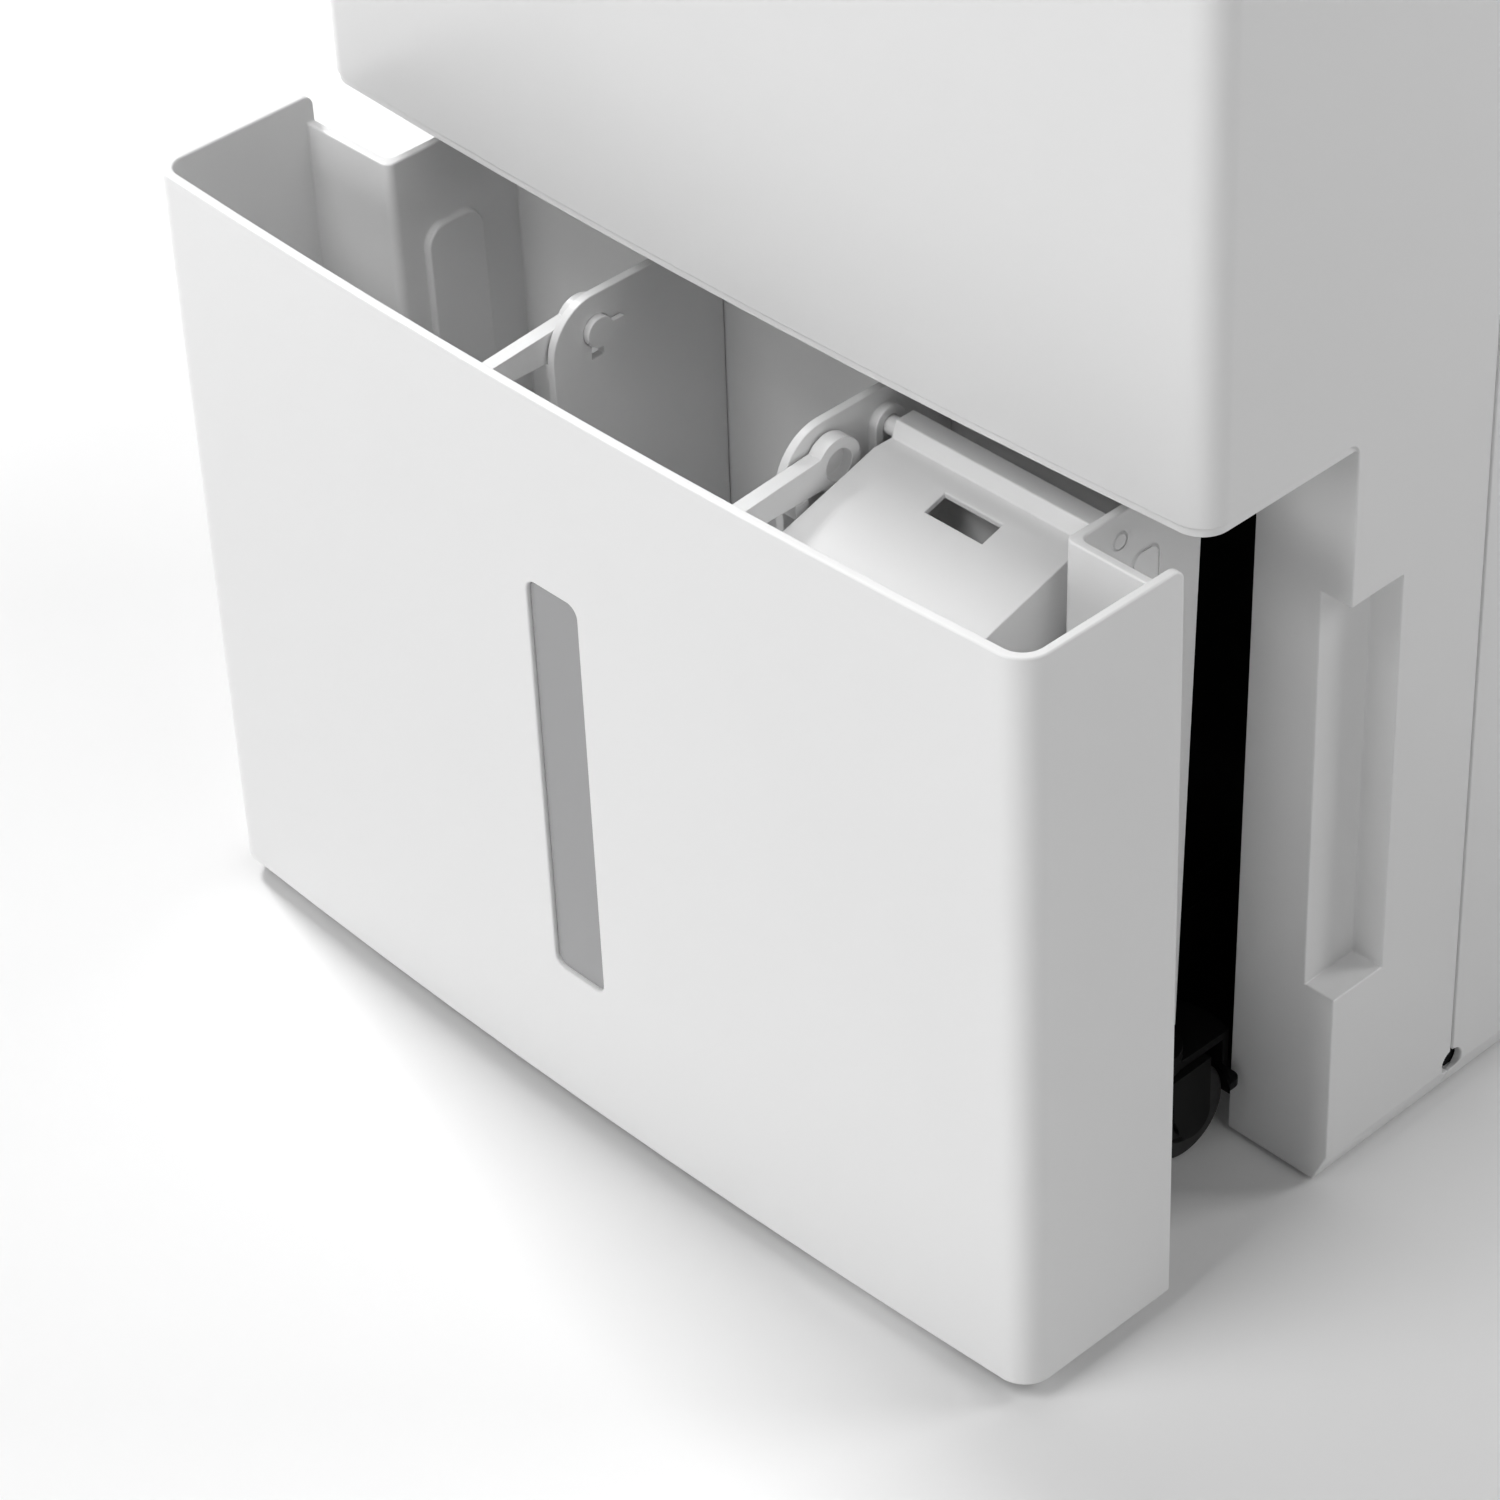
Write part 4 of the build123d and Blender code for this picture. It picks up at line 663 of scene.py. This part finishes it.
class DEHUMIDIFIER_OT_key_marks(bpy.types.Operator):
    """Print a plain mark on each key"""

    bl_idname = "dehumidifier.key_marks"
    bl_label = "Key marks"

    def execute(self, context):
        makers = {
            "power": self.power_mark, "mode": self.drop_mark, "fan": self.blade_mark,
            "down": self.down_mark, "up": self.up_mark, "timer": self.clock_mark,
        }
        for name in BUTTON_NAMES:
            key = f"button_{name}"
            mark = join(f"mark_{name}", makers[name](top_middle(key)))
            dress(soften(mark, 0.0), key, "panel_grey", finish("print grey"))
        return {"FINISHED"}

    def power_mark(self, centre):
        """Ring with an upright bar."""
        top = centre + Vector((0, POWER_RING, 0))
        stem = bar(POWER_STEM, MARK_WIDTH, MARK_HEIGHT, top, math.pi / 2)
        return [ring(POWER_RING, MARK_WIDTH, MARK_HEIGHT, centre), stem]

    def drop_mark(self, centre):
        """Water drop."""
        bowl = prism(BOWL_SIDES, BOWL_RADIUS, MARK_HEIGHT, centre - Vector((0, BOWL_DROP, 0)))
        tip = prism(ARROW_SIDES, TIP_RADIUS, MARK_HEIGHT, centre + Vector((0, TIP_RISE, 0)))
        return [bowl, tip]

    def blade_mark(self, centre):
        """Three blades round a hub."""
        parts = [prism(BLADE_SIDES, HUB_RADIUS, MARK_HEIGHT, centre)]
        for step in range(BLADE_COUNT):
            angle = math.pi / 2 + 2 * math.pi * step / BLADE_COUNT
            reach = Vector((math.cos(angle), math.sin(angle), 0)) * BLADE_REACH
            parts.append(prism(BLADE_SIDES, BLADE_RADIUS, MARK_HEIGHT, centre + reach))
        return parts

    def down_mark(self, centre):
        """Arrowhead pointing down."""
        return [prism(ARROW_SIDES, ARROW_RADIUS, MARK_HEIGHT, centre, math.pi)]

    def up_mark(self, centre):
        """Arrowhead pointing up."""
        return [prism(ARROW_SIDES, ARROW_RADIUS, MARK_HEIGHT, centre)]

    def clock_mark(self, centre):
        """Clock face with two hands."""
        raised = centre + Vector((0, LONG_HAND_RISE, 0))
        aside = centre + Vector((SHORT_HAND_REACH, 0, 0))
        long_hand = bar(LONG_HAND, MARK_WIDTH, MARK_HEIGHT, raised, math.pi / 2)
        short_hand = bar(SHORT_HAND, MARK_WIDTH, MARK_HEIGHT, aside)
        return [ring(CLOCK_RING, MARK_WIDTH, MARK_HEIGHT, centre), long_hand, short_hand]


class DEHUMIDIFIER_OT_digits(bpy.types.Operator):
    """Set a two-figure reading on the display"""

    bl_idname = "dehumidifier.digits"
    bl_label = "Display reading"

    def execute(self, context):
        middle = top_middle("display_lens")
        parts = []
        for figure, side in zip(READING, (-1, 1)):
            parts += self.figure(SEGMENTS[figure], middle + Vector((side * FIGURE_OFFSET, 0, 0)))
        dress(soften(join("reading", parts), 0.0), "housing", "lens_dark", finish("display glow"))
        return {"FINISHED"}

    def figure(self, lit, centre):
        """Bars of one seven-bar figure."""
        parts = []
        for name in lit:
            across, along, upright = SEGMENT_PLACES[name]
            place = centre + Vector((across * FIGURE_WIDTH, along * FIGURE_HEIGHT, 0)) / 2
            length = FIGURE_HEIGHT / 2 if upright else FIGURE_WIDTH
            turn = math.pi / 2 if upright else 0.0
            parts.append(bar(length - SEGMENT_GAP, SEGMENT_WIDTH, MARK_HEIGHT, place, turn))
        return parts


class DEHUMIDIFIER_OT_grilles(bpy.types.Operator):
    """Finish the outlet and intake grilles and weave the filter"""

    bl_idname = "dehumidifier.grilles"
    bl_label = "Grilles and filter"

    def execute(self, context):
        paint(finish("housing white"), "outlet_grille", "intake_grille")
        paint(finish("filter net"), "filter_mesh")
        return {"FINISHED"}


class DEHUMIDIFIER_OT_fittings(bpy.types.Operator):
    """Finish the drain spigot, its plug, the cord inlet and the screws"""

    bl_idname = "dehumidifier.fittings"
    bl_label = "Rear fittings"

    def execute(self, context):
        edges, _, _ = settings()
        redo("drain_spigot", "spigot", "housing", "spigot_white", finish("housing white"), edges.fine)
        redo("drain_plug", "plug_cap", "plug", "rubber_black", finish("black rubber"), edges.small)
        redo("cord_inlet", "inlet_bush", "housing", "rubber_black", finish("black rubber"), edges.small)
        self.cut_screws(edges.fine)
        return {"FINISHED"}

    def cut_screws(self, width):
        """Cross recess in the head of each shell screw."""
        low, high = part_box("shell_screws")
        head = SCREW_HEAD / 2
        bars = []
        for x in (low[0] + head, high[0] - head):
            for z in (low[2] + head, high[2] - head):
                place = (x, high[1], z)
                bars.append(bar(CROSS_LENGTH, 2 * CROSS_DEPTH, CROSS_WIDTH, place))
                bars.append(bar(CROSS_WIDTH, 2 * CROSS_DEPTH, CROSS_LENGTH, place))
        cutter = join("cross_cutter", bars)
        screws = take_shape("shell_screws", "screws")
        make_active(screws)
        cut = screws.modifiers.new("cross", "BOOLEAN")
        cut.operation = "DIFFERENCE"
        cut.object = cutter
        cut.use_self = True
        bpy.ops.object.modifier_apply(modifier=cut.name)
        bpy.data.objects.remove(cutter)
        soften(screws, width / 2)
        dress(screws, "housing", "bright_steel", finish("zinc steel"), "shell_screws")


class DEHUMIDIFIER_OT_inner_works(bpy.types.Operator):
    """Paint the blower, the refrigerant circuit and the tray"""

    bl_idname = "dehumidifier.inner_works"
    bl_label = "Inner works"

    def execute(self, context):
        paint(finish("blower grey"), "fan_scroll", "fan_inlet_plate", "fan_wheel")
        paint(finish("bay black"), "drip_tray", "outlet_duct")
        paint(finish("plated can"), "fan_motor")
        paint(finish("zinc steel"), "fan_shaft", "compressor_bolts")
        paint(finish("enamel black"), "compressor", "accumulator")
        paint(finish("bare aluminium"), "evaporator_fins", "condenser_fins")
        paint(finish("copper tube"), "evaporator_bends", "condenser_bends", "filter_drier")
        paint(finish("copper tube"), "discharge_pipe", "suction_pipe", "liquid_line")
        paint(finish("black rubber"), "compressor_grommets")
        paint(finish("sensor black"), "level_sensor")
        return {"FINISHED"}


class DEHUMIDIFIER_OT_stage(bpy.types.Operator):
    """Set out the floor, the lamps and the camera"""

    bl_idname = "dehumidifier.stage"
    bl_label = "Stage"

    def execute(self, context):
        _, _, stage = settings()
        self.add_floor(stage)
        self.add_world(stage)
        for name, (place, size, power) in LAMPS.items():
            self.add_lamp(name, place, size, getattr(stage, power))
        self.add_camera(stage)
        context.scene.view_settings.view_transform = "Standard"
        return {"FINISHED"}

    def add_floor(self, stage):
        """Pale floor that shows as white and keeps the shadow."""
        start_fresh()
        bpy.ops.mesh.primitive_plane_add(size=FLOOR_SIZE)
        floor = bpy.context.object
        floor.name = "floor"
        bpy.ops.object.mode_set(mode="EDIT")
        bpy.ops.mesh.subdivide(number_cuts=FLOOR_CUTS)
        bpy.ops.object.mode_set(mode="OBJECT")
        floor.data.materials.append(self.floor_finish(stage))

    def floor_finish(self, stage):
        """Matt white that is paler where it is seen than in the light it sends back."""
        material, tree, shader = new_material("floor white")
        seen = self.seen_or_mirrored(tree)
        tone = tree.nodes.new("ShaderNodeMix")
        tone.data_type = "RGBA"
        tone.inputs["A"].default_value = (FLOOR_TONE_LIGHT,) * 3 + (1,)
        tone.inputs["B"].default_value = (FLOOR_TONE_SEEN,) * 3 + (1,)
        lift = tree.nodes.new("ShaderNodeMath")
        lift.operation = "MULTIPLY"
        tree.links.new(seen, tone.inputs["Factor"])
        tree.links.new(seen, lift.inputs[0])
        tree.links.new(self.fade_to_white(tree, stage), lift.inputs[1])
        tree.links.new(tone.outputs["Result"], shader.inputs["Base Color"])
        tree.links.new(lift.outputs["Value"], shader.inputs["Emission Strength"])
        shader.inputs["Roughness"].default_value = FLOOR_ROUGHNESS
        shader.inputs["Emission Color"].default_value = WHITE
        return material

    def fade_to_white(self, tree, stage):
        """The floor's lift near the object, rising to white further away."""
        place = tree.nodes.new("ShaderNodeTexCoord")
        reach = tree.nodes.new("ShaderNodeVectorMath")
        reach.operation = "LENGTH"
        fade = tree.nodes.new("ShaderNodeMapRange")
        fade.interpolation_type = "SMOOTHSTEP"
        fade.inputs["From Min"].default_value = FADE_START
        fade.inputs["From Max"].default_value = FADE_END
        fade.inputs["To Min"].default_value = stage.floor_lift
        fade.inputs["To Max"].default_value = 1.0
        tree.links.new(place.outputs["Object"], reach.inputs[0])
        tree.links.new(reach.outputs["Value"], fade.inputs["Value"])
        return fade.outputs["Result"]

    def seen_or_mirrored(self, tree):
        """One for rays from the camera, a mirror or a clear piece, nought for light."""
        path = tree.nodes.new("ShaderNodeLightPath")
        total = path.outputs["Is Camera Ray"]
        for name in ("Is Glossy Ray", "Is Transmission Ray"):
            larger = tree.nodes.new("ShaderNodeMath")
            larger.operation = "MAXIMUM"
            tree.links.new(total, larger.inputs[0])
            tree.links.new(path.outputs[name], larger.inputs[1])
            total = larger.outputs["Value"]
        return total

    def add_world(self, stage):
        """Even room light that the camera sees as white."""
        world = bpy.data.worlds.new("room")
        bpy.context.scene.world = world
        world.use_nodes = True
        tree = world.node_tree
        tree.nodes.clear()
        output = tree.nodes.new("ShaderNodeOutputWorld")
        light = tree.nodes.new("ShaderNodeBackground")
        white = tree.nodes.new("ShaderNodeBackground")
        mix = tree.nodes.new("ShaderNodeMixShader")
        light.inputs["Color"].default_value = WHITE
        light.inputs["Strength"].default_value = stage.sky_level
        white.inputs["Color"].default_value = WHITE
        tree.links.new(self.seen_or_mirrored(tree), mix.inputs["Fac"])
        tree.links.new(light.outputs["Background"], mix.inputs[1])
        tree.links.new(white.outputs["Background"], mix.inputs[2])
        tree.links.new(mix.outputs["Shader"], output.inputs["Surface"])

    def add_lamp(self, name, place, size, power):
        """Soft rectangular lamp aimed at the tank."""
        data = bpy.data.lights.new(name, "AREA")
        data.shape = "RECTANGLE"
        data.size, data.size_y = size
        data.energy = power
        lamp = bpy.data.objects.new(name, data)
        bpy.context.scene.collection.objects.link(lamp)
        lamp.location = place
        aim = LAMP_AIM - Vector(place)
        lamp.rotation_euler = aim.to_track_quat("-Z", "Y").to_euler()

    def add_camera(self, stage):
        """Camera at the photograph's viewing angle."""
        data = bpy.data.cameras.new("camera")
        data.lens = stage.lens
        data.sensor_width = SENSOR_WIDTH
        data.clip_end = CAMERA_REACH
        camera = bpy.data.objects.new("camera", data)
        bpy.context.scene.collection.objects.link(camera)
        level = Vector((math.cos(stage.yaw), math.sin(stage.yaw), 0.0))
        ahead = Vector((
            -math.sin(stage.yaw) * math.cos(stage.pitch),
            math.cos(stage.yaw) * math.cos(stage.pitch),
            -math.sin(stage.pitch),
        ))
        above = level.cross(ahead)
        right = math.cos(stage.roll) * level + math.sin(stage.roll) * above
        up = math.cos(stage.roll) * above - math.sin(stage.roll) * level
        turn = Matrix((right, up, -ahead)).transposed().to_4x4()
        camera.matrix_world = Matrix.Translation(stage.camera_place) @ turn
        bpy.context.scene.camera = camera


class DEHUMIDIFIER_PT_pieces(bpy.types.Panel):
    """Lists the pieces and their settings"""

    bl_label = "Dehumidifier"
    bl_idname = "DEHUMIDIFIER_PT_pieces"
    bl_space_type = "VIEW_3D"
    bl_region_type = "UI"
    bl_category = "Dehumidifier"

    def draw(self, context):
        for group in settings():
            for name in group.bl_rna.properties.keys():
                if name not in ("rna_type", "name"):
                    self.layout.prop(group, name)
        for operator in OPERATORS:
            self.layout.operator(operator.bl_idname)


OPERATORS = (
    DEHUMIDIFIER_OT_housing,
    DEHUMIDIFIER_OT_tank,
    DEHUMIDIFIER_OT_handle,
    DEHUMIDIFIER_OT_float,
    DEHUMIDIFIER_OT_bay,
    DEHUMIDIFIER_OT_casters,
    DEHUMIDIFIER_OT_panel,
    DEHUMIDIFIER_OT_key_marks,
    DEHUMIDIFIER_OT_digits,
    DEHUMIDIFIER_OT_grilles,
    DEHUMIDIFIER_OT_fittings,
    DEHUMIDIFIER_OT_inner_works,
    DEHUMIDIFIER_OT_stage,
)
GROUPS = {
    "dehumidifier_edges": EdgeSizes,
    "dehumidifier_finishes": Finishes,
    "dehumidifier_stage": StageSetup,
}
CLASSES = tuple(GROUPS.values()) + OPERATORS + (DEHUMIDIFIER_PT_pieces,)


def register():
    """Add the classes and their settings to Blender."""
    for cls in CLASSES:
        bpy.utils.register_class(cls)
    for name, group in GROUPS.items():
        setattr(bpy.types.Scene, name, PointerProperty(type=group))


def unregister():
    """Take the settings and the classes away again."""
    for name in GROUPS:
        delattr(bpy.types.Scene, name)
    for cls in reversed(CLASSES):
        bpy.utils.unregister_class(cls)


def main():
    """Build every piece."""
    register()
    for operator in OPERATORS:
        family, name = operator.bl_idname.split(".")
        getattr(getattr(bpy.ops, family), name)()


if __name__ == "__main__":
    main()
